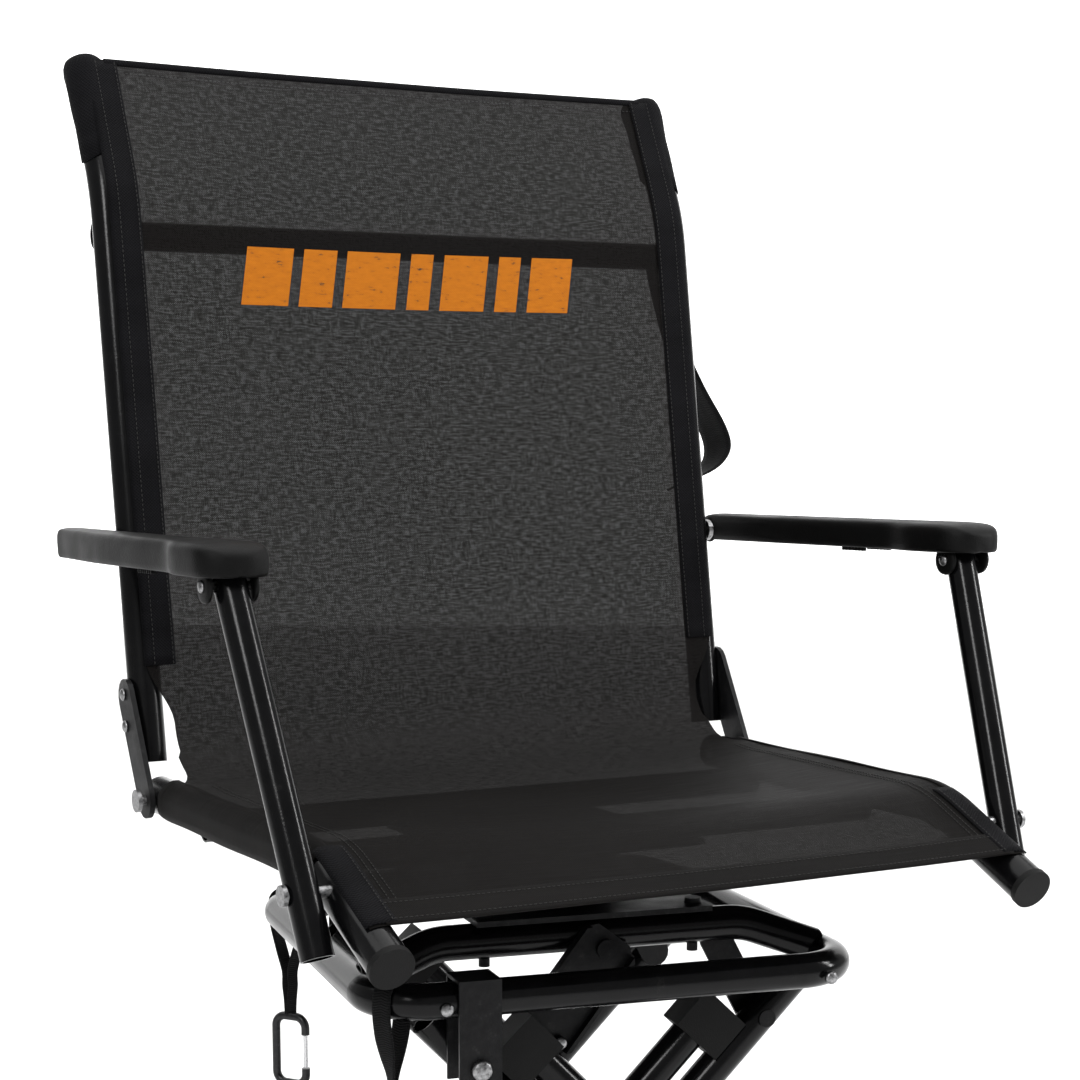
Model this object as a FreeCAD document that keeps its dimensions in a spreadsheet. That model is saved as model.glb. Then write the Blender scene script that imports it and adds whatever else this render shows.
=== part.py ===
import FreeCAD, Part
import math
import os
import Sketcher

# Folding swivel field chair: mesh sling on tubular rails, swivel on a square base ring, crossed legs.
# Frame: +Z up, -Y is the front of the seat, +X is the sitter's left; the floor is z = 0.

V = FreeCAD.Vector
doc = FreeCAD.newDocument("field_chair")
dims = doc.addObject("Spreadsheet::Sheet", "dims")

DRIVING = {
    # where the main axes stand
    "hinge_y": 121.13, "hinge_height": 480.0, "swivel_y": -9.87, "base_turn": -10.0,
    # tubes
    "rail_dia": 28.6, "rail_bore": 25.4, "frame_dia": 25.4, "frame_bore": 22.4,
    "strut_dia": 22.2, "strut_bore": 19.4, "pin_dia": 8.0, "pin_gap": 0.05, "slide_gap": 0.3,
    # seat and back
    "rail_half": 250.0, "back_half": 252.0, "rail_lift": 2.5, "rail_tail": 16.0,
    "rail_bend_y": 290.0, "rail_front_y": 393.9, "rail_front_drop": 43.2, "rail_bend_rad": 110.0,
    "back_foot_y": 35.0, "back_foot_z": 26.0, "back_bend_y": 103.0, "back_bend_z": 456.0,
    "back_top_y": 151.0, "back_top_z": 556.0, "back_bend_rad": 150.0, "sling_thick": 3.0,
    # arm linkage: an exact parallelogram
    "arm_pivot_y": 76.0, "arm_pivot_rise": 188.0, "strut_foot_y": 330.0, "strut_foot_drop": 8.0,
    "strut_x": 279.5, "arm_x": 294.0, "strut_tail": 42.0,
    "arm_width": 36.0, "arm_wall": 4.0, "arm_depth": 24.0, "arm_nose": 24.0, "arm_heel": 14.0,
    "arm_lift": 5.0, "arm_droop": 2.6, "arm_tail": 10.0, "arm_ear_rad": 9.5,
    # base ring and swivel
    "ring_height": 377.5, "ring_half": 174.0, "ring_corner": 40.0, "bow_reach": 105.0,
    "bow_rise": 23.0, "bow_half": 118.0, "bow_end": 119.0, "bow_end_rise": 3.0, "bow_bend": 60.0,
    "plate_side": 178.0, "plate_thick": 4.0, "bolt_half": 79.5, "race_rad": 58.0, "race_bore": 6.0,
    "cross_reach": 77.0, "cross_sink": 14.5, "cross_inset": 8.0,
    # crossed legs
    "leg_slope": 46.0, "leg_top_half": 119.0, "leg_mid_u": 11.0, "leg_top_drop": 46.0,
    "inner_plane": 113.5,
    "outer_plane": 143.0, "leg_stub": 36.0, "leg_length": 372.0, "reach_gap": 34.0,
    "cap_start": 14.0, "cap_length": 34.0, "cap_thick": 28.0, "guide_length": 44.0,
    "cross_at": 300.0, "foot_pin_z": 25.0, "foot_rad": 32.0, "foot_thick": 10.0, "button_rad": 4.5,
    # latch arm, strap loops, snap hook
    "latch_width": 46.0, "latch_length": 84.0, "latch_thick": 9.0, "latch_u": 6.0, "latch_rise": 14.0,
    "latch_plane": 123.0, "loop_width": 14.0, "web_thick": 2.0, "strap_width": 38.0,
    "loop_rad": 14.6, "loop_meet": 58.0,
    "hook_drop": 92.0, "hook_dia": 6.8, "gate_dia": 3.6, "hook_half_w": 14.0, "hook_half_h": 28.0,
    "hook_bend": 9.0, "gate_half": 13.0,
}

for row, (alias, number) in enumerate(DRIVING.items(), start=1):
    dims.set("A%d" % row, alias)
    dims.set("B%d" % row, repr(number))
    dims.setAlias("B%d" % row, alias)
doc.recompute()


def val(alias):
    return float(dims.get(alias))


SEAT = FreeCAD.Placement(V(0, val("hinge_y"), val("hinge_height")), FreeCAD.Rotation())
BASE = FreeCAD.Placement(V(0, val("swivel_y"), 0), FreeCAD.Rotation(V(0, 0, 1), val("base_turn")))
nodes = []


def keep(obj, label):
    obj.Label = label
    nodes.append(obj)
    return obj


def hidden(kind, label):
    return doc.addObject(kind, label)


def frame_along(start, direction, normal):
    """Placement whose local X runs along direction and local Z along normal."""
    x_axis = V(direction).normalize()
    z_axis = V(normal)
    z_axis = (z_axis - x_axis * z_axis.dot(x_axis)).normalize()
    return FreeCAD.Placement(start, FreeCAD.Rotation(x_axis, z_axis.cross(x_axis), z_axis, "XZY"))


def origin_plane(body, role):
    return [item for item in body.Origin.OriginFeatures if item.Role == role][0]


def sketch_on(body, role):
    sketch = body.newObject("Sketcher::SketchObject", "outline")
    sketch.AttachmentSupport = (origin_plane(body, role), [""])
    sketch.MapMode = "FlatFace"
    return sketch


def ring_profile(body, outer, bore=None):
    """Circle, or ring, on the plane across the local X axis, with its radii on the sheet."""
    sketch = sketch_on(body, "YZ_Plane")
    for alias in [outer] + ([bore] if bore else []):
        index = sketch.addGeometry(Part.Circle(V(0, 0, 0), V(0, 0, 1), val(alias) / 2), False)
        sketch.addConstraint(Sketcher.Constraint("Coincident", index, 3, -1, 1))
        rule = sketch.addConstraint(Sketcher.Constraint("Radius", index, val(alias) / 2))
        sketch.setExpression("Constraints[%d]" % rule, "dims.%s / 2" % alias)
    return sketch


def side_of(first, second):
    """A unit vector square to the run from first to second."""
    run = (second - first).normalize()
    other = V(0, 0, 1) if abs(run.z) < 0.9 else V(0, 1, 0)
    return (other - run * other.dot(run)).normalize()


def straight_tube(label, start, end, outer, bore=None, group=None):
    group = group or FreeCAD.Placement()
    body = hidden("PartDesign::Body", label)
    profile = ring_profile(body, outer, bore)
    pad = body.newObject("PartDesign::Pad", "run")
    pad.Profile = profile
    pad.Length = (end - start).Length
    body.Placement = group.multiply(frame_along(start, end - start, side_of(start, end)))
    return body


def bend_points(points, radius):
    """Tangent points and middle point of the arc at each inner corner of a flat path."""
    arcs = []
    for before, corner, after in zip(points, points[1:], points[2:]):
        into = (corner - before).normalize()
        out = (after - corner).normalize()
        turn = into.getAngle(out)
        back = radius * math.tan(turn / 2)
        centre_way = (out - into).normalize()
        centre = corner + centre_way * (radius / math.cos(turn / 2))
        arcs.append((corner - into * back, centre - centre_way * radius, corner + out * back))
    return arcs


def bent_tube(label, points, radius, outer, bore=None, group=None):
    """Tube along a flat path of straight runs joined by equal bends."""
    group = group or FreeCAD.Placement()
    normal = None
    for before, corner, after in zip(points, points[1:], points[2:]):
        normal = normal or (corner - before).cross(after - corner)
    place = frame_along(points[0], points[1] - points[0], normal)
    local = [place.inverse().multVec(point) for point in points]
    body = hidden("PartDesign::Body", label)
    profile = ring_profile(body, outer, bore)
    path = sketch_on(body, "XY_Plane")
    here = local[0]
    for first, middle, last in bend_points(local, radius):
        if (first - here).Length > 0.01:
            path.addGeometry(Part.LineSegment(here, first), False)
        path.addGeometry(Part.Arc(first, middle, last), False)
        here = last
    if (local[-1] - here).Length > 0.01:
        path.addGeometry(Part.LineSegment(here, local[-1]), False)
    pipe = body.newObject("PartDesign::AdditivePipe", "sweep")
    pipe.Profile = profile
    pipe.Spine = (path, ["Edge%d" % (n + 1) for n in range(len(path.Geometry))])
    body.Placement = group.multiply(place)
    return body


def polygon(body, role, *outlines):
    """Sketch of closed straight-edged outlines on one of the body's own planes."""
    sketch = sketch_on(body, role)
    for points in outlines:
        for first, second in zip(points, points[1:] + points[:1]):
            sketch.addGeometry(Part.LineSegment(V(first[0], first[1], 0), V(second[0], second[1], 0)), False)
    return sketch


def extrusion(label, role, outlines, length_alias, group, symmetric=True):
    """Straight-sided solid: closed outlines on one origin plane, padded by a length on the sheet."""
    body = hidden("PartDesign::Body", label)
    sketch = polygon(body, role, *outlines)
    pad = body.newObject("PartDesign::Pad", "run")
    pad.Profile = sketch
    pad.setExpression("Length", length_alias)
    pad.Midplane = symmetric
    body.Placement = group
    return body


def cylinder(centre, direction, radius, length, group, label="rod"):
    """Cylinder with its middle at centre."""
    rod = hidden("Part::Cylinder", label)
    if isinstance(radius, str):
        rod.setExpression("Radius", radius)
    else:
        rod.Radius = radius
    rod.Height = length
    way = V(direction).normalize()
    rod.Placement = group.multiply(
        FreeCAD.Placement(centre - way * (length / 2), FreeCAD.Rotation(V(0, 0, 1), way)))
    return rod


def block(low, size, group, label="block"):
    box = hidden("Part::Box", label)
    box.Length, box.Width, box.Height = size
    box.Placement = group.multiply(FreeCAD.Placement(low, FreeCAD.Rotation()))
    return box


def fuse(items, label="joined"):
    if len(items) == 1:
        return items[0]
    out = hidden("Part::MultiFuse", label)
    out.Shapes = items
    return out


def cut(base, tools, label="trimmed"):
    out = hidden("Part::Cut", label)
    out.Base = base
    out.Tool = fuse(tools)
    return out


def together(items, label):
    out = hidden("Part::Compound", label)
    out.Links = items
    return out


def pin(centre, direction, length, head, group, label="pin"):
    """Rivet: shank with a domed-flat head on the far end of the direction."""
    way = V(direction).normalize()
    shank = cylinder(centre, way, "dims.pin_dia / 2", length, group)
    cap = cylinder(centre + way * (length / 2 + 1.5), way, head, 3.0, group)
    return fuse([shank, cap], label)


def bore(centre, direction, length, group):
    """Cutting tool for a running hole round a pin."""
    return cylinder(centre, direction, "dims.pin_dia / 2 + dims.pin_gap", length, group)


def tight(centre, direction, length, group):
    return cylinder(centre, direction, "dims.pin_dia / 2", length, group)


ACROSS = V(1, 0, 0)
ALONG = V(0, 1, 0)
UP = V(0, 0, 1)

# ---------------------------------------------------------------- seat
rail_z = val("rail_lift")
hinge_pin = V(0, 0, rail_z)
strut_pin = V(0, -val("strut_foot_y"), -val("strut_foot_drop"))
link = V(0, val("arm_pivot_y"), val("arm_pivot_rise"))
arm_pin = hinge_pin + link
arm_front_pin = strut_pin + link
cross_z = rail_z - val("cross_sink")
swivel = V(0, val("swivel_y") - val("hinge_y"), 0)


def at_x(point, x):
    return V(x, point.y, point.z)


def rail_path(x):
    return [V(x, val("rail_tail"), rail_z), V(x, -val("rail_bend_y"), rail_z),
            V(x, -val("rail_front_y"), -val("rail_front_drop"))]


def seat_rail(side, label):
    tube = bent_tube(label + "_tube", rail_path(side * val("rail_half")), val("rail_bend_rad"),
                     "rail_dia", "rail_bore", SEAT)
    x = side * val("rail_half")
    holes = [tight(at_x(hinge_pin, x), ACROSS, 60, SEAT), tight(at_x(strut_pin, x), ACROSS, 60, SEAT)]
    return keep(cut(tube, holes), label)


def rail_end_caps():
    caps = []
    for side in (-1, 1):
        path = rail_path(side * val("rail_half"))
        way = (path[2] - path[1]).normalize()
        plug = cylinder(path[2] - way * 7, way, "dims.rail_bore / 2", 14, SEAT)
        face = cylinder(path[2] + way * 2.5, way, "dims.rail_dia / 2 + 0.8", 5, SEAT)
        tail = cylinder(path[0] - ALONG * 5, ALONG, "dims.rail_bore / 2", 10, SEAT)
        lid = cylinder(path[0] + ALONG * 1.5, ALONG, "dims.rail_dia / 2", 3, SEAT)
        caps += [fuse([plug, face]), fuse([tail, lid])]
    return keep(together(caps, "caps"), "rail_end_caps")


def seat_cross_tubes():
    """Cross tubes, their ends fitted to the undersides of the side rails."""
    tubes = []
    reach = val("rail_half") - val("cross_inset")
    for way in (-1, 1):
        y = swivel.y + way * val("cross_reach")
        tube = straight_tube("cross", V(-reach, y, cross_z), V(reach, y, cross_z), "strut_dia", "strut_bore", SEAT)
        rails = [cylinder(V(side * val("rail_half"), y, rail_z), ALONG, "dims.rail_dia / 2", 60, SEAT)
                 for side in (-1, 1)]
        tubes.append(cut(tube, rails))
    return keep(together(tubes, "cross_tubes"), "seat_cross_tubes")


def seat_pins():
    pins = []
    half = val("rail_half")
    for side in (-1, 1):
        pins.append(pin(at_x(hinge_pin, side * (half + 3.5)), ACROSS * side, 40, 8.5, SEAT))
        pins.append(pin(at_x(strut_pin, side * (half + 12.5)), ACROSS * side, 58, 7.0, SEAT))
    return keep(together(pins, "pins"), "seat_pivot_pins")


def strip_outline(points, thick):
    """Outline of a thin strip laid along a bent centre line, points as (first, second) pairs."""
    left, right = [], []
    for index, point in enumerate(points):
        before = points[max(index - 1, 0)]
        after = points[min(index + 1, len(points) - 1)]
        run = V(after[0] - before[0], after[1] - before[1], 0).normalize()
        side = V(-run.y, run.x, 0) * (thick / 2)
        left.append((point[0] + side.x, point[1] + side.y))
        right.append((point[0] - side.x, point[1] - side.y))
    return left + right[::-1]


def seat_sling():
    dims_width = "2 * (dims.rail_half - dims.rail_dia / 2 - dims.slide_gap)"
    line = [(-8, rail_z), (-250, rail_z), (-290, rail_z - 3.5), (-324, rail_z - 14), (-376, -35)]
    body = extrusion("seat_mesh", "YZ_Plane", [strip_outline(line, val("sling_thick"))], dims_width, SEAT)
    return keep(body, "seat_sling")


def upper_plate():
    z = cross_z - val("strut_dia") / 2 - val("plate_thick")
    side = val("plate_side")
    plate = block(swivel + V(-side / 2, -side / 2, z), (side, side, val("plate_thick")), SEAT)
    hole = cylinder(swivel + V(0, 0, z), UP, "dims.race_bore", 20, SEAT)
    return keep(cut(plate, [hole]), "swivel_upper_plate")


seat_rail(-1, "right_seat_rail")
seat_rail(1, "left_seat_rail")
rail_end_caps()
seat_cross_tubes()
seat_pins()
seat_sling()
upper_plate()

# ---------------------------------------------------------------- back
back_path = [V(0, val("back_foot_y"), val("back_foot_z")), V(0, val("back_bend_y"), val("back_bend_z")),
             V(0, val("back_top_y"), val("back_top_z"))]
lean = (back_path[1] - back_path[0]).normalize()
behind = V(0, lean.z, -lean.y)
plate_in = val("rail_half") + val("rail_dia") / 2 + 0.5


def back_point(height):
    """Point of the straight part of the back rails' centre line at a height over the hinge."""
    return back_path[0] + lean * ((height - back_path[0].z) / lean.z)


def back_rail(side, label):
    x = side * val("back_half")
    tube = bent_tube(label + "_tube", [at_x(point, x) for point in back_path], val("back_bend_rad"),
                     "frame_dia", "frame_bore", SEAT)
    plugs = []
    for end, way in ((back_path[0], lean * -1), (back_path[2], (back_path[2] - back_path[1]).normalize())):
        plugs.append(cylinder(at_x(end, x) - way * 1.0, way, "dims.frame_dia / 2", 2.0, SEAT))
    return keep(fuse([tube] + plugs), label)


def plate_outline(points, radius):
    """Outline round a row of points: a flat link with rounded ends, as short straight edges."""
    outline = []
    first, last = points[0], points[-1]
    angle = math.atan2(last[1] - first[1], last[0] - first[0])
    for centre, start in ((first, angle + math.pi / 2), (last, angle - math.pi / 2)):
        for step in range(9):
            turn = start + math.pi * step / 8
            outline.append((centre[0] + radius * math.cos(turn), centre[1] + radius * math.sin(turn)))
    return outline


def back_brackets():
    plates = []
    top = back_point(76)
    for side in (-1, 1):
        x = side * (plate_in + 2)
        shape = plate_outline([(hinge_pin.y + 2, hinge_pin.z), (top.y, top.z)], 14)
        plate = extrusion("bracket", "YZ_Plane", [shape], "dims.plate_thick",
                          SEAT.multiply(FreeCAD.Placement(V(x, 0, 0), FreeCAD.Rotation())))
        rivets = [cylinder(at_x(back_point(h), x + side * 3), ACROSS, 4.0, 2.0, SEAT) for h in (54, 78)]
        plates.append(cut(fuse([plate] + rivets), [bore(at_x(hinge_pin, x), ACROSS, 30, SEAT)]))
    return keep(together(plates, "brackets"), "back_brackets")


def arm_pivot_studs():
    studs = []
    for side in (-1, 1):
        x = side * (plate_in + 2)
        shape = plate_outline([(back_point(arm_pin.z).y, arm_pin.z), (arm_pin.y, arm_pin.z)], 9)
        ear = extrusion("ear", "YZ_Plane", [shape], "dims.plate_thick",
                        SEAT.multiply(FreeCAD.Placement(V(x, 0, 0), FreeCAD.Rotation())))
        stud_mid = side * (plate_in + 13)
        studs.append(fuse([ear, pin(at_x(arm_pin, stud_mid), ACROSS * side, 22, 7.0, SEAT)]))
    return keep(together(studs, "studs"), "arm_pivot_studs")


def back_cross_tube():
    middle = back_point(430) + behind * ((val("frame_dia") + val("strut_dia")) / 2)
    tube = straight_tube("bar", at_x(middle, -256), at_x(middle, 256), "strut_dia", "strut_bore", SEAT)
    return keep(tube, "back_cross_tube")


def back_sling():
    width = "2 * (dims.back_half - dims.frame_dia / 2 - dims.slide_gap)"
    heights = [(back_point(z).y, z) for z in (46, 180, 300, 425)]
    bend, top = back_path[1], back_path[2]
    heights += [(bend.y + 3, bend.z), ((bend.y + top.y) / 2, (bend.z + top.z) / 2), (top.y, top.z)]
    body = extrusion("back_mesh", "YZ_Plane", [strip_outline(heights, val("sling_thick"))], width, SEAT)
    return keep(body, "back_sling")


def shoulder_strap():
    """Webbing that hangs behind the left-hand rail and bows out past it."""
    line = [(260, 428), (262, 392), (265, 352), (270, 318), (273, 292), (271, 268), (267, 250), (263, 232)]
    body = extrusion("strap", "XZ_Plane", [strip_outline(line, val("web_thick"))], "dims.strap_width", SEAT)
    lead = back_point(0) + behind * (val("frame_dia") / 2 + 22)
    tilt = FreeCAD.Rotation(ACROSS, -math.degrees(math.atan2(lean.y, lean.z)))
    body.Placement = SEAT.multiply(FreeCAD.Placement(V(0, lead.y, 0), tilt))
    return keep(body, "shoulder_strap")


back_rail(-1, "right_back_rail")
back_rail(1, "left_back_rail")
back_brackets()
arm_pivot_studs()
back_cross_tube()
back_sling()
shoulder_strap()


# ---------------------------------------------------------------- arms and struts
def armrest(side, label):
    """Moulded channel, open below, wider at the rounded front pad, with an ear at each pivot."""
    half, wall = val("arm_width") / 2, val("arm_wall")
    rise = math.atan2(arm_pin.z - arm_front_pin.z, arm_pin.y - arm_front_pin.y)
    reach = (arm_pin - arm_front_pin).Length
    front, rear = -val("arm_nose"), reach + val("arm_heel")
    place = SEAT.multiply(FreeCAD.Placement(at_x(arm_front_pin, side * val("arm_x")),
                                            FreeCAD.Rotation(ACROSS, math.degrees(rise))))
    body = hidden("PartDesign::Body", label + "_moulding")
    tail = val("arm_tail")
    outline = [(-half, rear - 4), (-half, front + 96), (-half - 8, front + 62), (-half - 8, front + 18),
               (-half + 2, front + 3), (0, front), (half - 2, front + 3), (half + 8, front + 18),
               (half + 8, front + 62), (half, front + 96), (half, rear - 120), (tail, rear - 4),
               (tail - 4, rear), (4 - half, rear)]
    inner = [(wall - half, rear - 4), (wall - half, front + 8), (half - wall, front + 8),
             (half - wall, rear - 120), (tail - wall, rear - 4)]
    if side < 0:
        outline = [(-x, y) for x, y in outline[::-1]]
        inner = [(-x, y) for x, y in inner[::-1]]
    shell = polygon(body, "XY_Plane", outline)
    pad = body.newObject("PartDesign::Pad", "block")
    pad.Profile = shell
    pad.setExpression("Length", "dims.arm_depth")
    hollow = polygon(body, "XY_Plane", inner)
    pocket = body.newObject("PartDesign::Pocket", "channel")
    pocket.Profile = hollow
    pocket.setExpression("Length", "dims.arm_depth - dims.arm_wall")
    pocket.Reversed = True
    body.Placement = place.multiply(FreeCAD.Placement(V(0, 0, val("arm_lift")),
                                                      FreeCAD.Rotation(ACROSS, -val("arm_droop"))))
    ear_thick = wall - 0.6
    ears = [cylinder(V(wall_side * (half - wall / 2), 0, 0), ACROSS, "dims.arm_ear_rad", ear_thick, place)
            for wall_side in (-1, 1)]
    ears.append(cylinder(V(-side * (half - wall / 2), reach, 0), ACROSS, "dims.arm_ear_rad", ear_thick, place))
    holes = [bore(V(-side * (half - wall / 2), reach, 0), ACROSS, wall + 8, place),
             tight(V(0, 0, 0), ACROSS, 80, place)]
    return keep(cut(fuse([body] + ears), holes), label)


def arm_rivet(side, label):
    x = side * val("arm_x")
    rivet = pin(at_x(arm_front_pin, x), ACROSS * side, val("arm_width") + 16, 7.0, SEAT)
    return keep(rivet, label)


def arm_strut(side, label):
    low, high = at_x(strut_pin, side * val("strut_x")), at_x(arm_front_pin, side * val("arm_x"))
    way = (high - low).normalize()
    tube = straight_tube(label + "_tube", low - way * val("strut_tail"), high + way * 7.5,
                         "strut_dia", "strut_bore", SEAT)
    lower = bore(at_x(strut_pin, side * val("strut_x")), ACROSS, 40, SEAT)
    upper = cylinder(at_x(arm_front_pin, side * val("arm_x")), ACROSS, "dims.pin_dia / 2 + dims.slide_gap",
                     40, SEAT)
    return keep(cut(tube, [lower, upper]), label)


for sign, word in ((-1, "right"), (1, "left")):
    armrest(sign, word + "_armrest")
    arm_rivet(sign, word + "_arm_rivet")
    arm_strut(sign, word + "_arm_strut")

# ---------------------------------------------------------------- base ring and swivel
ring_z = val("ring_height")
ring = val("ring_half")
corner = val("ring_corner")
tube_r = val("frame_dia") / 2


def ring_tube(way, label):
    """Front or rear tube of the ring, with its two corners."""
    path = [V(-ring, way * (ring - corner - 0.02), ring_z), V(-ring, way * ring, ring_z),
            V(ring, way * ring, ring_z), V(ring, way * (ring - corner - 0.02), ring_z)]
    return keep(bent_tube(label, path, corner, "frame_dia", "frame_bore", BASE), label)


def ring_sides():
    reach = ring - corner - 0.1
    tubes = [straight_tube("side", V(side * ring, -reach, ring_z), V(side * ring, reach, ring_z),
                           "frame_dia", "frame_bore", BASE) for side in (-1, 1)]
    return keep(together(tubes, "sides"), "base_side_tubes")


def bow(way, label):
    end = V(ring, way * val("bow_end"), ring_z + val("bow_end_rise"))
    bend = V(val("bow_half"), way * val("bow_reach"), ring_z + val("bow_rise"))
    path = [V(-end.x, end.y, end.z), V(-bend.x, bend.y, bend.z), bend, end]
    tube = bent_tube(label + "_tube", path, val("bow_bend"), "frame_dia", "frame_bore", BASE)
    clear = [cylinder(V(side * ring, 0, ring_z), ALONG, "dims.frame_dia / 2 + 0.05", 2 * ring, BASE)
             for side in (-1, 1)]
    outer = [block(V(side * ring - 30 + side * 30, way * ring - 100, ring_z - 40), (60, 200, 90), BASE)
             for side in (-1, 1)]
    return keep(cut(tube, clear + outer), label)


plate_z = ring_z + val("bow_rise") + tube_r


def lower_plate():
    side = val("plate_side")
    deep = val("bow_reach") + 15
    plate = block(V(-side / 2, -deep, plate_z), (side, 2 * deep, val("plate_thick")), BASE)
    hole = cylinder(V(0, 0, plate_z), UP, "dims.race_bore", 20, BASE)
    return keep(cut(plate, [hole]), "swivel_lower_plate")


def bearing():
    low = plate_z + val("plate_thick")
    top = val("hinge_height") + cross_z - val("strut_dia") / 2 - val("plate_thick") - val("slide_gap")
    body = hidden("PartDesign::Body", "race")
    sketch = sketch_on(body, "XY_Plane")
    for alias in ("race_rad", "race_bore"):
        index = sketch.addGeometry(Part.Circle(V(0, 0, 0), UP, val(alias)), False)
        sketch.addConstraint(Sketcher.Constraint("Coincident", index, 3, -1, 1))
        rule = sketch.addConstraint(Sketcher.Constraint("Radius", index, val(alias)))
        sketch.setExpression("Constraints[%d]" % rule, "dims.%s" % alias)
    pad = body.newObject("PartDesign::Pad", "run")
    pad.Profile = sketch
    pad.Length = top - low
    body.Placement = BASE.multiply(FreeCAD.Placement(V(0, 0, low), FreeCAD.Rotation()))
    return keep(body, "swivel_bearing")


hinge_drop = ring_z - val("leg_top_drop")
inner_u = val("leg_mid_u") + val("leg_top_half")
outer_u = val("leg_mid_u") - val("leg_top_half")
ear_v = val("inner_plane") - tube_r - 0.8 - 1.5


def base_ears():
    """Hinge ears of the inner legs, hung from the underside of the bow tubes."""
    ears = []
    for way in (-1, 1):
        shape = plate_outline([(inner_u, hinge_drop), (inner_u - 30, ring_z + val("bow_rise") - 12)], 12)
        ear = extrusion("ear", "XZ_Plane", [shape], "dims.plate_thick - 1",
                        BASE.multiply(FreeCAD.Placement(V(0, way * ear_v, 0), FreeCAD.Rotation())))
        over = cylinder(V(0, way * val("bow_reach"), ring_z + val("bow_rise")), ACROSS,
                        "dims.frame_dia / 2 + 0.5", 4 * inner_u, BASE)
        ears.append(cut(ear, [over]))
    return keep(together(ears, "ears"), "leg_hinge_ears")


latch_hinge = V(val("latch_u"), -val("latch_plane"), ring_z + val("latch_rise"))


def base_fasteners():
    """Swivel bolts, leg hinge pins with spacers, stop bolts and rivets of the ring."""
    parts = []
    head_z = plate_z + val("plate_thick")
    for x in (-1, 1):
        for y in (-1, 1):
            spot = V(x * val("bolt_half"), y * val("bow_reach"), 0)
            parts.append(cylinder(spot + UP * (head_z + 2), UP, 6.0, 4.0, BASE))
            parts.append(cylinder(spot + UP * (plate_z - 2 * tube_r - 3), UP, 4.0, 6.0, BASE))
    inner = val("inner_plane")
    for way in (-1, 1):
        hinge = V(inner_u, way * (ear_v + 1.5), hinge_drop)
        far = way * (inner + tube_r + 1)
        shank = cylinder(V(hinge.x, (hinge.y + far) / 2, hinge.z), ALONG, "dims.pin_dia / 2",
                         abs(far - hinge.y), BASE)
        head = cylinder(V(hinge.x, far + way * 0.75, hinge.z), ALONG, 6.5, 1.5, BASE)
        parts.append(fuse([shank, head]))
        for u in (outer_u - 23, 152):
            parts.append(cylinder(V(u, way * (ring + tube_r + 1), ring_z - 3), ALONG, 4.5, 2.0, BASE))
    bow_face = -val("bow_reach") - tube_r
    web_face = latch_hinge.y + val("latch_thick") / 2 - 2.8
    stud = cylinder(V(latch_hinge.x, (bow_face + web_face) / 2, latch_hinge.z), ALONG,
                    "dims.pin_dia / 2", bow_face - web_face, BASE)
    nut = cylinder(V(latch_hinge.x, web_face - 1.5, latch_hinge.z), ALONG, 7.0, 3.0, BASE)
    parts.append(fuse([stud, nut]))
    return keep(together(parts, "fasteners"), "base_fasteners")


def latch_arm():
    """Stamped channel that hangs from the front bow tube, open to the front, with a catch rivet."""
    way = V(-math.cos(math.radians(52)), 0, -math.sin(math.radians(52)))
    place = BASE.multiply(frame_along(latch_hinge, way, ALONG * -1))
    half, long, thick = val("latch_width") / 2, val("latch_length"), val("latch_thick")
    outline = [(-12, -half + 8), (-4, -half), (long - 4, -half), (long, -half + 4), (long, half - 10),
               (long - 10, half), (-4, half), (-12, half - 8)]
    inner = [(-14, -half + 3), (long + 4, -half + 3), (long + 4, half - 3), (-14, half - 3)]
    body = hidden("PartDesign::Body", "latch")
    shell = polygon(body, "XY_Plane", outline)
    pad = body.newObject("PartDesign::Pad", "block")
    pad.Profile = shell
    pad.setExpression("Length", "dims.latch_thick")
    pad.Midplane = True
    body.Placement = place
    hollow = block(V(-20, -half + 3, -thick / 2 + 2.5), (long + 40, 2 * half - 6, thick), place)
    holes = [bore(V(0, 0, 0), UP, 40, place), cylinder(V(42, 4, 0), UP, 7.0, 40, place)]
    rivet = cylinder(V(long - 11, half - 11, 0), UP, 4.5, thick, place)
    return keep(fuse([cut(body, [hollow] + holes), rivet]), "latch_arm")


bend_mid = ring - corner * (1 - math.sqrt(0.5))
rear_corner = FreeCAD.Placement(V(-bend_mid, bend_mid, ring_z), FreeCAD.Rotation(UP, -45))
front_corner = FreeCAD.Placement(V(-bend_mid, -bend_mid, ring_z), FreeCAD.Rotation(UP, 45))
hook_place = BASE.multiply(rear_corner)
hook_mid = V(0, 0, -val("hook_drop") - val("hook_half_h"))


def strap_loop(spot):
    """Loop of webbing over a ring tube; its two runs meet below and end in a small eye."""
    inside, thick, meet = val("loop_rad"), val("web_thick"), val("loop_meet")
    outer, inner = [], []
    for step in range(15):
        turn = math.radians(-8 + 196 * step / 14)
        outer.append(((inside + thick) * math.cos(turn), (inside + thick) * math.sin(turn)))
        inner.append((inside * math.cos(turn), inside * math.sin(turn)))
    outer += [(-thick, -meet), (thick, -meet)]
    inner += [(-0.4, -meet + 10), (0.4, -meet + 10)]
    place = BASE.multiply(spot)
    loop = extrusion("loop", "XZ_Plane", [outer, inner], "dims.loop_width", place)
    drop = val("hook_drop")
    tail = block(V(-thick, -5, 5 - drop), (2 * thick, 10, drop - meet), place)
    tail_top = block(V(-thick, -val("loop_width") / 2, -meet - 4), (2 * thick, val("loop_width"), 5), place)
    eye = cylinder(V(0, 0, -drop), ACROSS, "dims.hook_dia / 2 + dims.slide_gap + dims.web_thick", 9, place)
    hole = cylinder(V(0, 0, -drop), ACROSS, "dims.hook_dia / 2 + dims.slide_gap", 20, place)
    return cut(fuse([loop, tail, tail_top, eye]), [hole])


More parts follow.
